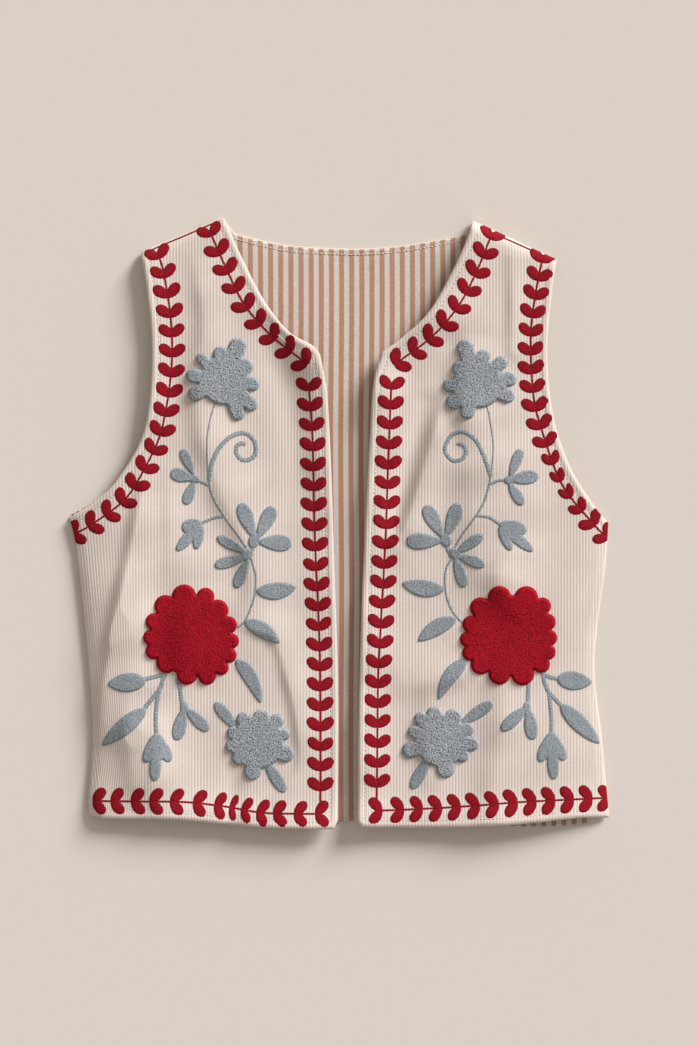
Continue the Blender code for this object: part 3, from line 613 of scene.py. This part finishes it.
low, high = lining_loop.min(axis=0), lining_loop.max(axis=0)
x, y, _, quads = filled(lining_loop, np.arange(low[0] - 2, high[0] + 4, LINING_COLUMN),
                        np.arange(low[1] - 2, high[1] + 4, LINING_ROW))
edge = nearest(x, y, closed(lining_loop))[0]
wave = 0.22 * np.sin(x / 21 + y / 60) * np.sin(y / 33 + 0.6) + 0.15 * np.sin(x / 9 - y / 80)
groove = SEAM_DEPTH * np.exp(-(((edge - SEWN_IN + LINING_EDGE_INSET) / SEAM_WIDTH) ** 2))
z = LINING_TOP - LINING_SINK + wave * np.clip(edge / 10, 0, 1) - groove
x, y, z, quads, _ = with_rings(x, y, z, quads, lining_loop, [(0.0, 0.3), (1.0, 0.6)])
lining = piece_from("back_lining_cloth", x, y, z, quads, striped_cotton(), {})
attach(lining, "root")
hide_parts("back_lining")


# Leaf-pair borders. Pairs of round satin-stitched leaves on a chain-stitched stem, in red cotton, inside
# every edge. They grow from the side seams up to the shoulders. Like all yarn after them, theirs stands up
# in small round bumps, with painted shade darkening the gaps between.
LEAF_LONG, LEAF_WIDE, LEAF_APART, LEAF_TURN = 7.7, 4.7, 5.1, math.radians(42)  # each leaf an ellipse
PAIR_RISE, PAIR_LOOP, PAIR_LOOP_RISE = 0.55, 0.9, 0.18
TURN_SCATTER, SIZE_SCATTER = 0.03, 0.02  # of each pair, in radians and as a share
VINE_WIDTH, VINE_RISE = 1.9, 0.9
VINES = [
    # name, front, number of leaf pairs, points (x, y) from the first pair to the last
    ("left_hem", "left", 12, [(-208.5, -241.7), (-140.6, -242), (-103, -245.7), (-66.2, -251.5),
                              (-33.2, -252.6)]),
    ("left_front_edge", "left", 21, [(-15.7, -227.2), (-16.1, -122.8), (-17.9, -71), (-21, -1), (-22.3, 68.7),
                                     (-25.8, 120.3)]),
    ("left_neck", "left", 9, [(-31.1, 140.8), (-58.6, 163), (-81.7, 189.7), (-97.8, 221.8), (-112.2, 254.3)]),
    ("left_armhole", "left", 17, [(-228.6, -8.8), (-214.9, -1.3), (-185.7, 20.6), (-167.8, 48.8),
                                  (-153.6, 81.8), (-145.5, 132.2), (-145.8, 176.6), (-152.6, 219.7),
                                  (-157.6, 234.9)]),
    ("right_hem", "right", 12, [(231.5, -239.7), (218.7, -239.7), (153.2, -242.6), (102.8, -246.6),
                                (51.3, -249.3)]),
    ("right_front_edge", "right", 21, [(33.3, -224.1), (34.4, -136.8), (36.9, -84.8), (40.7, -16.4),
                                       (43.8, 70.1), (46, 121.6)]),
    ("right_neck", "right", 9, [(52.6, 140.5), (81.5, 162.2), (104.1, 188.5), (120.5, 219.9),
                                (133.3, 251.8)]),
    ("right_armhole", "right", 17, [(231, -9.9), (222.1, -1), (194.7, 33), (177.1, 79.5), (169.2, 113.1),
                                    (167.2, 164.4), (171.3, 199), (177.6, 232)]),
]
CORNER_PAIRS = {"left_hem": (-14.7, -252.6, 0.0), "right_hem": (32.4, -249.7, 180.0)}
CORNER_STEMS = {"left": [(-15.7, -227.2), (-15.9, -240), (-15.3, -251)],
                "right": [(33.3, -224.1), (33, -238), (32.6, -249)]}
LEFT_HEM_AT = [-208.5, -192.4, -174.5, -158.5, -140.6, -120.9, -103.2, -91.6, -80.2, -66.2, -51.2, -33.2]
NARROW_PAIRS = {  # pairs that lie on a slope: their share of the full length and width
    "left_hem": {6: (0.85, 1), 7: (0.6, 1), 8: (0.8, 1), 9: (0.88, 1)},
    "right_armhole": {2: (1, 0.78), 3: (1, 0.6), 4: (1, 0.6), 5: (1, 0.74)}}
# painted shade: the low colour darkens the gaps between the bumps, the leaves' rims and the threads' sides
red_satin = pile_material("red_satin", "pile", (0.11, 0.0022, 0.006), (0.29, 0.0055, 0.015), 1150, 0.02,
                          (1.0, 0.15, 0.2), 0.0004, 0.46)


def loops(x, y, size, seed):
    """Round bumps, one somewhere in the middle 0.7 of each square of a net: each place's height over its
    nearest bump as a share, the root of 1 - (distance / 0.75 sizes) squared, and that bump's own random
    share."""
    table = np.random.default_rng(seed).random((64, 64, 3))
    column, row = np.floor(x / size).astype(int), np.floor(y / size).astype(int)
    best, own = np.full(len(x), 9.0), np.zeros(len(x))
    for across in (-1, 0, 1):
        for along in (-1, 0, 1):
            draw = table[(row + along) % 64, (column + across) % 64]
            away = np.hypot(x / size - column - across - 0.15 - 0.7 * draw[:, 0],
                            y / size - row - along - 0.15 - 0.7 * draw[:, 1])
            own = np.where(away < best, draw[:, 2], own)
            best = np.minimum(best, away)
    return np.sqrt(np.clip(1 - (best / 0.75) ** 2, 0, 1)), own


def merged(parts):
    """Several nets as one: their points in turn, and their quads renumbered."""
    starts = np.cumsum([0] + [len(part[0]) for part in parts[:-1]])
    columns = [np.concatenate([part[k] for part in parts]) for k in (0, 1, 2, 4)]
    quads = np.vstack([part[3] + start for part, start in zip(parts, starts)])
    return columns[0], columns[1], columns[2], quads, columns[3]


CHAIN = 2.6  # one chain stitch
ROUND = np.linspace(0, np.pi, 7)  # the places round a half-round thread
THREAD_SUNK, THREAD_HIDDEN = 0.3, 0.9  # how deep its edges lie in the cloth, and all of it in a gap


def strip(side, points, width, rise, seed, step=0.65, stitch=None, level=None):
    """A half-round line of thread along a smooth curve, pinched between its chain stitches: its width
    swells by a tenth, and its height by 0.28, with the sine of the way along. With stitch (length, gap) it
    dives under the cloth in every gap. A level is a plain height to lie on instead of the front."""
    line = smooth_line(points, step)
    way = np.gradient(line, axis=0)
    way = way / np.hypot(*way.T)[:, None]
    across = np.column_stack([-way[:, 1], way[:, 0]])
    run = np.arange(len(line))
    swell = np.abs(np.sin(run * step * np.pi / CHAIN))
    half_width = width / 2 * (1 + 0.10 * swell + 0.05 * np.sin(run * 0.9 + seed))
    half_width[[0, -1]] *= 0.6
    x = (line[:, 0, None] + across[:, 0, None] * half_width[:, None] * np.cos(ROUND)).ravel()
    y = (line[:, 1, None] + across[:, 1, None] * half_width[:, None] * np.cos(ROUND)).ravel()
    arch = np.tile(np.sin(ROUND), len(line))
    pinch = np.repeat(1 - 0.18 * (run % 2) if stitch else 0.72 + 0.28 * swell, len(ROUND))
    base = cloth_top(side, x, y) + RIB_HEIGHT * 0.5 if level is None else np.full(len(x), level)
    z = base - THREAD_SUNK + rise * arch * pinch
    if stitch:
        shown = np.repeat((run * step) % sum(stitch) < stitch[0], len(ROUND))
        z = np.where(shown, z, base - THREAD_HIDDEN)
    number = np.arange(len(x)).reshape(len(line), len(ROUND))
    corners = [number[:-1, :-1], number[1:, :-1], number[1:, 1:], number[:-1, 1:]]
    # painted shade: the colour share is lowest on the thread's sides and at its pinches
    return x, y, z, np.stack(corners, axis=-1).reshape(-1, 4), 0.25 + 0.7 * arch * pinch**2


def embroidered(name, net, material):
    """One piece of embroidery, riding on the garment."""
    x, y, z, quads, pile = net
    made = piece_from(name, x, y, z, quads, material, {"pile": pile})
    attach(made, "root")
    return made


def leaf_pair():
    """One pair of leaves pointing along +x: each an ellipse whose far end is a little fuller, domed as
    (1 - share squared) to the power 0.45, with a skirt."""
    turn = np.linspace(0, 2 * np.pi, 36, endpoint=False)
    along = LEAF_LONG * np.cos(turn)
    across = LEAF_WIDE * (1 + 0.15 * np.cos(turn)) * np.sin(turn)
    parts = []
    for hand in (1, -1):
        ahead = along * math.sin(LEAF_TURN) - across * math.cos(LEAF_TURN)
        aside = along * math.cos(LEAF_TURN) + across * math.sin(LEAF_TURN)
        loop = np.column_stack([ahead, hand * (LEAF_APART + aside)])
        low, high = loop.min(axis=0), loop.max(axis=0)
        columns, rows = np.arange(low[0] - 1, high[0] + 2, 1.0), np.arange(low[1] - 1, high[1] + 2, 1.0)
        x, y, _, quads = filled(loop, columns, rows)
        back, over = x, hand * y - LEAF_APART
        p = back * math.sin(LEAF_TURN) + over * math.cos(LEAF_TURN)
        q = -back * math.cos(LEAF_TURN) + over * math.sin(LEAF_TURN)
        share = np.hypot(p / LEAF_LONG, q / LEAF_WIDE / (1 + 0.15 * np.clip(p / LEAF_LONG, -1, 1)))
        dome = np.clip(1 - share**2, 0, 1) ** 0.45
        x, y, z, quads, rim = with_rings(x, y, dome, quads, loop, [(0.1, 0.6)])
        # painted shade: the colour share falls from the top of each dome to its rim, and is lower on the
        # skirt
        parts.append((x, y, z, quads, np.concatenate([0.45 + 0.5 * dome, 0.35 + 0 * dome[rim]])))
    return merged(parts)


def evenly(points, count):
    """The given number of places along a smooth curve, with the curve's direction at each."""
    line = smooth_line(points, 2.0)
    run = np.concatenate([[0], np.cumsum(np.hypot(*np.diff(line, axis=0).T))])
    at = np.linspace(0, run[-1], count)
    place, ahead, behind = (np.column_stack([np.interp(at + step, run, line[:, k]) for k in (0, 1)])
                            for step in (0, 3, -3))
    return place, np.arctan2(*(ahead - behind).T[::-1])


def outside(x, y, loop):
    """Which places lie outside a closed outline: an even number of its spans pass to their right."""
    odd = np.zeros(len(x), bool)
    for (x1, y1), (x2, y2) in zip(loop, np.roll(loop, -1, axis=0)):
        if y1 != y2:
            odd ^= ((y1 > y) != (y2 > y)) & (x < x1 + (y - y1) * (x2 - x1) / (y2 - y1))
    return ~odd


pair_x, pair_y, pair_z, pair_quads, pair_pile = leaf_pair()
draws = np.random.default_rng(11)
for name, side, count, points in VINES:
    places, ways = evenly(points, count)
    if name == "left_hem":
        places = np.column_stack([LEFT_HEM_AT, np.interp(LEFT_HEM_AT, *smooth_line(points, 2.0).T)])
    if name in CORNER_PAIRS:
        px, py, way = CORNER_PAIRS[name]
        places, ways = np.vstack([places, [(px, py)]]), np.append(ways, math.radians(way))
    ways = ways + draws.normal(0, TURN_SCATTER, len(ways))
    grow = 1 + draws.normal(0, SIZE_SCATTER, len(ways))
    cos, sin = np.cos(ways)[:, None], np.sin(ways)[:, None]
    narrow = np.array([NARROW_PAIRS.get(name, {}).get(k, (1, 1)) for k in range(len(ways))])
    px, py = pair_x * (grow * narrow[:, 0])[:, None], pair_y * (grow * narrow[:, 1])[:, None]
    x = (places[:, :1] + px * cos - py * sin).ravel()
    y = (places[:, 1:] + px * sin + py * cos).ravel()
    local = np.tile(pair_z, len(places))
    edge_line = outline_of(EDGES[side], 3)
    cut = outside(x, y, edge_line)
    _, x[cut], y[cut], _ = nearest(x[cut], y[cut], closed(edge_line))
    yarn, _ = loops(x, y, PAIR_LOOP, 5)
    z = cloth_top(side, x, y) + RIB_HEIGHT * 0.5 + PAIR_RISE * local + PAIR_LOOP_RISE * yarn * (local > 0.2)
    z = np.where(cut, z - 1.0, z)  # what passes the edge is turned under the cloth there
    quads = (pair_quads[None] + (np.arange(len(places)) * len(pair_x))[:, None, None]).reshape(-1, 4)
    # painted shade: each pair is darker in the gaps between its yarn bumps
    pile = np.tile(pair_pile, len(places)) * (0.70 + 0.30 * yarn)
    stems = [points]
    if name in CORNER_PAIRS:
        last = [tuple(points[-1]), CORNER_PAIRS[name][:2]]
        stems += [CORNER_STEMS[side], last if side == "left" else last[::-1]]
    parts = [(x, y, z, quads, pile)] + [strip(side, stem, VINE_WIDTH, VINE_RISE, 0.0) for stem in stems]
    embroidered("leaf_pairs_" + name, merged(parts), red_satin)


# Big red flowers. One on each front, of looped wool about 3 mm high, with fourteen scallops, wide at the
# top and the bottom and narrow at the sides.
POMPON_RISE, POMPON_BORDER, POMPON_CORE = 2.4, 3.0, 35.5
POMPON_NET, POMPON_LOOP, POMPON_LOOP_RISE = 0.46, 1.1, 0.8
POMPONS = [
    # front, x, y, scallops (angle in degrees, reach, radius)
    ("left", -127.9, -97.1, [
        (100.8, 44.4, 10.6), (69.7, 43.1, 7.8), (43, 40.6, 9.3), (14.8, 40.9, 7.5), (-8.8, 41.9, 6.7),
        (-28.4, 44, 6.5), (-48.1, 45.1, 6.6), (-69.3, 46, 7.8), (-96.4, 43.7, 9), (-131.5, 41.4, 9.3),
        (-156.6, 42.7, 7.3), (-176.3, 41.9, 7), (160.4, 41.7, 7.6), (131.9, 43.3, 9.6)]),
    ("right", 147.6, -97.7, [
        (103.6, 44.1, 10.2), (64.6, 46.4, 10.6), (40.7, 46.6, 7.6), (18.8, 43.2, 7.6), (-3.5, 42.7, 7.1),
        (-22.9, 44.2, 6.8), (-41.2, 45.7, 7.8), (-69.8, 45.7, 10.2), (-103.5, 43.8, 9.6), (-133.8, 43.7, 9),
        (-155.7, 43.6, 7.1), (-174.5, 42.6, 6.8), (163.6, 41.6, 7.5), (135.2, 43.3, 9.3)]),
]


def lobed(x, y, core, lobes, count=400):
    """An outline about a centre. Each ray reaches the farthest of a round core and the lobes, each a
    round-ended bar from the centre: out of its side at radius / |sin turn|, or out of its end circle at
    middle cos turn + root(radius squared - (middle sin turn) squared)."""
    angles = np.linspace(0, 2 * np.pi, count, endpoint=False)
    reach = np.full(count, float(core))
    for angle, tip, radius in lobes:
        turn = angles - math.radians(angle)
        sine, cosine = np.abs(np.sin(turn)), np.cos(turn)
        middle = tip - radius
        end = middle * cosine + np.sqrt(np.maximum(radius**2 - (middle * sine) ** 2, 0))
        bar = np.where(radius * cosine <= middle * sine, radius / np.maximum(sine, 0.001), end)
        reach = np.where(cosine > 0, np.maximum(reach, bar), reach)
    return np.column_stack([x + reach * np.cos(angles), y + reach * np.sin(angles)])


# painted shade: the low colour darkens the gaps between the loops and the skirt
red_yarn = pile_material("red_yarn", "pile", (0.10, 0.0016, 0.004), (0.415, 0.0056, 0.0185), 950, 0.04,
                         (1.0, 0.15, 0.2), 0.0006, 0.42)


def looped_patch(side, loop, step, rise, border, size, loop_rise, seed):
    """A patch of looped yarn inside the loop: a quarter round up from its rim, plus the bumps, with a
    skirt."""
    low, high = loop.min(axis=0), loop.max(axis=0)
    x, y, _, quads = filled(loop, np.arange(low[0] - step, high[0] + step * 2, step),
                            np.arange(low[1] - step, high[1] + step * 2, step))
    share = np.sin(np.pi / 2 * np.clip(nearest(x, y, closed(loop))[0] / border, 0, 1))
    bump, own = loops(x, y, size, seed)
    # painted shade: the colour share is low in the gaps between the bumps; each bump's own share is random
    # tone
    pile = bump * (0.75 + 0.25 * own)
    z = cloth_top(side, x, y) + RIB_HEIGHT * 0.6 + rise * share + loop_rise * pile * (0.4 + 0.6 * share)
    x, y, z, quads, rim = with_rings(x, y, z, quads, loop, [(0.15, 0.7), (0.3, 1.6)])
    # painted shade: the skirt's colour share is lowered step by step down it
    return x, y, z, quads, np.concatenate([pile, pile[rim] * 0.6, pile[rim] * 0.3])


for side, x, y, scallops in POMPONS:
    net = looped_patch(side, lobed(x, y, POMPON_CORE, scallops), POMPON_NET, POMPON_RISE, POMPON_BORDER,
                       POMPON_LOOP, POMPON_LOOP_RISE, 21)
    embroidered("big_flower_" + side, net, red_yarn)


# Grey flowers. Two on each front, of looped grey-blue wool about 3 mm high: a round core with round-ended
# petals of unequal reach.
FLOWER_RISE, FLOWER_BORDER = 1.9, 2.4
FLOWER_NET, FLOWER_LOOP, FLOWER_LOOP_RISE = 0.5, 1.25, 1.0
PETAL_EASE = 0.8  # the pile spreads this much past each petal's stitched line
FLOWERS = [
    # name, x, y, core radius, petals (angle in degrees, reach, radius)
    ("left_upper", -99, 124.5, 22, [
        (68.7, 38.9, 6.9), (98.5, 29.3, 6.2), (137.8, 32, 4.6), (173, 34.1, 5.4), (206.1, 35.1, 6),
        (291.2, 37.6, 5.8), (317.1, 37.4, 5.8), (351.4, 30.8, 5.5), (34, 28.3, 6.8)]),
    ("left_lower", -70.5, -190.5, 23.5, [
        (120.5, 29.6, 5.9), (80.1, 28.8, 7.2), (47.5, 31.2, 5.4), (16.6, 29.4, 4.6), (337.7, 34, 6.9),
        (260.1, 33.5, 6.7), (220, 27.7, 5.9), (189, 28.3, 5.3), (158.6, 28.4, 5.4)]),
    ("right_upper", 121, 121.5, 22, [
        (109.7, 40, 6.9), (78.4, 29.8, 5.5), (41.5, 32.7, 5.2), (7.1, 34.1, 5.6), (337.1, 34.3, 6),
        (249, 33.5, 5.9), (217.9, 33.6, 6.2), (184.7, 30.7, 5.3), (140.9, 27.2, 6.6)]),
    ("right_lower", 89, -188.5, 23.5, [
        (104.3, 30.1, 6.6), (61.2, 29.8, 7.2), (22, 30.6, 5.5), (352.6, 33.3, 5.4), (324.6, 29.1, 5.4),
        (279.3, 33.4, 7.4), (198.1, 35.4, 6.5), (162.8, 30.2, 5.2), (133.4, 31.4, 5.5)]),
]
# painted shade: the low colour darkens the gaps between the loops and the skirt
bloom_yarn = pile_material("bloom_yarn", "pile", (0.125, 0.132, 0.14), (0.372, 0.402, 0.432), 900, 0.08,
                           (0.95, 0.98, 1.0), 0.0006, 0.42)
for name, x, y, core, petals in FLOWERS:
    petals = [(angle, reach, radius + PETAL_EASE) for angle, reach, radius in petals]
    net = looped_patch(name.split("_")[0], lobed(x, y, core, petals), FLOWER_NET, FLOWER_RISE, FLOWER_BORDER,
                       FLOWER_LOOP, FLOWER_LOOP_RISE, 22)
    embroidered("grey_flower_" + name, net, bloom_yarn)


# Grey leaves and stems. Flat bouclé-stitched paddle leaves and chain-stitched stems in the same grey-blue
# wool, one set on each front, with a bud and a three-pronged tulip head.
LEAF_RISE, LEAF_BORDER = 0.8, 1.5
LEAF_NET, LEAF_LOOP, LEAF_LOOP_RISE = 0.65, 1.1, 0.45
LEAF_EASE, STEM_EASE, STEM_RISE = 1.07, 1.42, 0.9  # ease: how much wider than its stitched line each spreads
BLUNT, POINTED = 0.4, 0.62  # tapers of the leaves' ends
LEAVES = [
    # name, where it is widest as a share, width, bow, left front: base x, y, tip x, y, right front: the same
    ("upper sprig, knot", 0.5, 7.4, 0, -120.8, 36.9, -130.4, 39.9, 143.6, 36.7, 153.4, 38.2),
    ("upper sprig, upper leaf", 0.66, 9.2, 0, -125.5, 41.2, -136.2, 64.2, 148.1, 38.9, 158.4, 64.2),
    ("upper sprig, outer leaf", 0.62, 11.6, 0, -125.5, 38.5, -146.2, 43.6, 148.5, 37.4, 173.7, 41.1),
    ("upper sprig, lower leaf", 0.62, 9.4, 0, -125.3, 36.3, -133.4, 16, 147.5, 35.2, 160, 15.6),
    ("bud, cap", 0.55, 12.4, 0, -118.8, 0, -136.2, -5.2, 139.2, -1.6, 163.4, -6.5),
    ("bud, outer petal", 0.5, 9.4, 0, -121, -2, -140.6, -24, 142.2, -3, 168.8, -24.5),
    ("bud, inner petal", 0.5, 8.8, 0, -120, -1, -124, -22.9, 140, -2.2, 149.6, -23.9),
    ("spray, knot", 0.5, 9.6, 0, -75.6, -21.5, -71, -9, 95.2, -20.6, 91, -8.4),
    ("spray, upper petal", 0.68, 12.8, 0, -72.2, -15.2, -85.1, 17.1, 91.8, -14.2, 75.2, 15.2),
    ("spray, middle petal", 0.68, 12.4, 0, -71.5, -15, -56.2, 14.2, 92.7, -14.2, 104.6, 17.3),
    ("spray, side petal", 0.66, 14, 0, -70.9, -16.3, -40.7, -17.9, 90.8, -15.5, 58.8, -16.1),
    ("low sprig, knot", 0.5, 8.8, 0, -74.6, -24, -84.6, -31, 97, -23, 106.2, -31),
    ("low sprig, upper leaf", 0.64, 9.4, 0, -77.6, -26.8, -105.8, -12.2, 100.9, -26.6, 125.4, -10.4),
    ("low sprig, outer leaf", 0.64, 10, 0, -78.2, -28.5, -107.8, -37.4, 102.1, -27.8, 127, -37),
    ("low sprig, lower leaf", 0.64, 10, 0, -77.9, -30.6, -89.6, -56.4, 100.9, -28.4, 109.2, -56),
    ("upper vine leaf", 0.47, 14.4, -1.6, -71.4, -59.6, -36.8, -55.6, 92.1, -57.8, 55, -52.6),
    ("lower vine leaf", 0.45, 13.4, 1.6, -81.6, -85, -51, -104, 102, -82.8, 69, -102.5),
    ("leaf below the big flower", 0.38, 12.6, 3, -88.4, -118.6, -67.5, -156.5, 109.9, -119, 86.6, -153.4),
    ("side leaf", 0.45, 15.8, 0, -167.2, -137, -200.4, -139.9, 189.8, -135.6, 220.6, -138.8),
    ("long leaf", 0.44, 14, 0, -167.2, -161, -205.6, -193.2, 192.9, -157.8, 227.2, -192),
    ("tulip, cap", 0.62, 18.8, 0, -157.4, -182, -158.2, -206.5, 184.8, -181.5, 185.8, -206),
    ("tulip, middle petal", 0.62, 10, 0, -157.6, -188, -159.6, -223.8, 185, -186, 187.2, -223),
    ("tulip, left petal", 0.6, 9.6, 0, -157.4, -184, -168, -207.6, 184.2, -183, 174.6, -207.6),
    ("tulip, right petal", 0.6, 9.6, 0, -157.2, -184, -146.4, -207.2, 185, -183, 196.4, -206.4),
    ("end sprig, knot", 0.5, 6.6, 0, -134.9, -154.5, -133, -166.5, 163.9, -154.8, 163.2, -167),
    ("end sprig, left leaf", 0.62, 11.2, 0, -134, -160, -140.8, -188.8, 164.6, -160.6, 168.8, -188.3),
    ("end sprig, right leaf", 0.6, 10.6, 0, -132.8, -160.4, -113.1, -180.6, 163.4, -160, 141.2, -179.9),
    ("flower leaf above", 0.62, 10.2, 0, -87, -180.6, -107.5, -156, 105, -175.6, 134, -155.7),
    ("flower leaf below", 0.62, 10.4, 0, -65, -205.2, -46.6, -233.8, 79.8, -202, 63.4, -231),
]
STEMS = [
    # front, width, points
    ("left", 1.0, [(-106.5, 107.3), (-110.3, 94.5), (-112.3, 85.7), (-113.8, 74.1), (-114, 62.4),
                   (-113.8, 53.1), (-112.9, 39.7)]),
    ("left", 3.0, [(-112.4, 36.6), (-111.7, 44.4), (-110.3, 50.2), (-108.2, 56.6), (-104.7, 63.6),
                   (-100.1, 69.4), (-94.2, 74.7), (-88.4, 77.3), (-83.2, 78.1), (-77.9, 76.4),
                   (-73.8, 71.7), (-71.8, 65.3), (-72.7, 59.5), (-76.2, 56), (-81.4, 54.5), (-86.1, 56.6),
                   (-89, 61.8), (-88.4, 66.5), (-84.9, 69.1), (-80.5, 68.5)]),
    ("left", 1.4, [(-112.9, 39.7), (-111.7, 31), (-108.2, 20.8), (-103.4, 12.2), (-96.4, 1.5), (-90, -7),
                   (-82.5, -17.7), (-77.1, -27.4), (-74.4, -35.9), (-72, -45.6), (-72, -56.3), (-73.9, -67),
                   (-80.6, -83.9), (-87.6, -90.8)]),
    ("left", 3.2, [(-72.3, -15.6), (-74.4, -20.9), (-76.4, -27.4)]),
    ("left", 2.1, [(-125.1, 37.9), (-120.5, 36.2), (-112.9, 32.7)]),
    ("left", 2.1, [(-120.5, -0.6), (-114.1, 2.1), (-107.1, 4.7), (-100.1, 5.6)]),
    ("left", 3.0, [(-148.5, -131), (-157.3, -132.9), (-168.1, -135.6)]),
    ("left", 3.0, [(-150.7, -130), (-155, -143.4), (-161.8, -152.5), (-168.4, -160.6)]),
    ("left", 3.0, [(-155, -143.4), (-157.3, -152.5), (-158.4, -168.4), (-157.8, -184)]),
    ("left", 3.0, [(-140.2, -135), (-137.3, -145.6), (-135.9, -157), (-134.3, -162)]),
    ("right", 1.0, [(127.7, 106.5), (130.8, 93), (133, 80), (134.4, 67), (133.8, 55.8), (132.3, 42.6)]),
    ("right", 2.8, [(132.2, 40), (130.8, 44), (125.7, 58.8), (119.8, 70.5), (112.4, 77.2), (105.8, 79.1),
                    (97.7, 75.7), (93, 67.6), (93.3, 60.2), (99.9, 54), (107.3, 55.8), (110.5, 61.7),
                    (108, 67.6), (102.8, 68.8)]),
    ("right", 1.5, [(132.3, 43), (130.5, 32.3), (127.1, 20.5), (122, 10.2), (114.6, -0.1), (107.3, -10.4),
                    (102.8, -17.8), (99.9, -25.2), (98, -31.2), (94, -38.4), (92.5, -47.2), (92.8, -56.1),
                    (94.7, -66.4), (99.1, -76.7), (104.3, -83.3), (108.3, -87)]),
    ("right", 3.2, [(92.1, -14.9), (94.7, -22.2), (98.4, -30.3)]),
    ("right", 2.1, [(131.6, 33.7), (138.9, 36.7), (147.4, 37.4)]),
    ("right", 2.1, [(119.8, 6.5), (130.1, 5), (137.4, 0.6), (140.8, -2)]),
    ("right", 3.0, [(175.5, -129.5), (183.1, -133.9), (190.6, -135.5)]),
    ("right", 3.0, [(176.9, -129.5), (180, -141.2), (184.1, -148.5), (189.3, -154.2), (194, -159)]),
    ("right", 2.8, [(182.6, -146.4), (183.9, -156.8), (185, -169.2), (184.9, -183.5)]),
    ("right", 2.9, [(165.2, -136), (164.6, -148.5), (164, -161.5)]),
]


def paddle(base, tip, widest, width, bow):
    """A leaf outline round a line from base to tip that bows aside by bow times sin(pi t). Its half width is
    width / 2 times sin(pi t ** power) ** taper, with the power that puts the widest place at its share, and a
    lower taper, so blunter ends, on the leaves that are widest past their middle."""
    base, tip = np.array(base, float), np.array(tip, float)
    along = (tip - base) / np.hypot(*(tip - base))
    across = np.array([-along[1], along[0]])
    t = (1 - np.cos(np.linspace(0, np.pi, 30))) / 2
    power = math.log(0.5) / math.log(widest)
    taper = BLUNT if widest >= 0.5 else POINTED
    half_width = width / 2 * np.maximum(np.sin(np.pi * t**power), 0) ** taper
    middle = base + np.outer(t, tip - base) + np.outer(bow * np.sin(np.pi * t), across)
    one, other = middle + half_width[:, None] * across, middle - half_width[:, None] * across
    return np.vstack([one, other[-2:0:-1]])


# painted shade: the low colour darkens the gaps between the loops, the skirts and the stems' sides
grey_yarn = pile_material("grey_yarn", "pile", (0.142, 0.16, 0.172), (0.315, 0.352, 0.377), 950, 0.08,
                          (0.9, 0.97, 1.0), 0.0006, 0.34)
for side in ("left", "right"):
    parts = []
    for k, (_, widest, width, bow, lbx, lby, ltx, lty, rbx, rby, rtx, rty) in enumerate(LEAVES):
        base, tip = ((lbx, lby), (ltx, lty)) if side == "left" else ((rbx, rby), (rtx, rty))
        outline = paddle(base, tip, widest, width * LEAF_EASE, bow if side == "left" else -bow)
        parts.append(looped_patch(side, outline, LEAF_NET, LEAF_RISE, LEAF_BORDER, LEAF_LOOP, LEAF_LOOP_RISE,
                                  30 + k))
    embroidered("grey_leaves_" + side, merged(parts), grey_yarn)
    stems = [strip(side, points, width * STEM_EASE, STEM_RISE, k)
             for k, (front, width, points) in enumerate(STEMS) if front == side]
    embroidered("grey_stems_" + side, merged(stems), grey_yarn)


# Topstitching and loose threads. Cream cotton stitches run 6.5 mm inside every open edge of a front and
# along the back neck, a dark red thread follows each shoulder, and dark basting stitches hold the back at
# the left armhole.
STITCH_WIDTH, STITCH_RISE, STITCH = 0.8, 0.55, (2.6, 1.0)  # a stitch: its length and the gap after it
THREAD_STEP = 0.6
SHOULDER_WIDTH, SHOULDER_RISE = 1.5, 1.0
SHOULDER_THREADS = {"left": [(-167.5, 235.3), (-152, 242.5), (-134, 250), (-106.5, 262)],
                    "right": [(131, 253.5), (150, 245.4), (166, 238.3), (180, 232)]}
BASTING = [(-233.2, 6.6), (-222, 12.8), (-209, 21.6)]
BASTING_WIDTH, BASTING_RISE, BASTING_LEVEL, BASTING_STITCH = 0.9, 0.7, BACK_TOP + 0.2, (3.0, 2.4)
NECK_SEAM = [(107, 246.4), (80, 240.8), (42, 235.4), (4, 234.2), (-47, 237.6), (-92, 248)]
NECK_SEAM_RISE = 0.34
# painted shade: the low colour darkens the stitches' sides and pinches
cream_thread = pile_material("cream_thread", "pile", (0.56, 0.46, 0.39), (0.74, 0.645, 0.59), 1900, 0.05,
                             (1.0, 0.97, 0.94), 0.0002)
for side in ("left", "right"):
    loop = inset(outline_of(EDGES[side], 3), STITCH_IN)
    open_edge = np.min([nearest(*loop.T, line)[0] for line in SEAMS[side]], axis=0) > STITCH_IN + 2
    start = int(np.argmin(open_edge))
    loop, open_edge = np.roll(loop, -start, axis=0), np.roll(open_edge, -start)
    runs = np.split(np.arange(len(loop)), np.nonzero(np.diff(open_edge.astype(int)))[0] + 1)
    stitches = [strip(side, loop[run], STITCH_WIDTH, STITCH_RISE, 0.0, THREAD_STEP, STITCH)
                for run in runs if open_edge[run[0]] and len(run) > 4]
    embroidered("topstitching_" + side, merged(stitches), cream_thread)
    shoulder = strip(side, SHOULDER_THREADS[side], SHOULDER_WIDTH, SHOULDER_RISE, 0.0)
    embroidered("shoulder_thread_" + side, shoulder, red_satin)
neck_seam = strip("left", NECK_SEAM, STITCH_WIDTH, NECK_SEAM_RISE, 0.0, THREAD_STEP, STITCH, LINING_TOP)
embroidered("neck_seam_stitching", neck_seam, cream_thread)
basting = strip("left", BASTING, BASTING_WIDTH, BASTING_RISE, 0.0, THREAD_STEP, BASTING_STITCH, BASTING_LEVEL)
embroidered("armhole_basting", basting, red_satin)
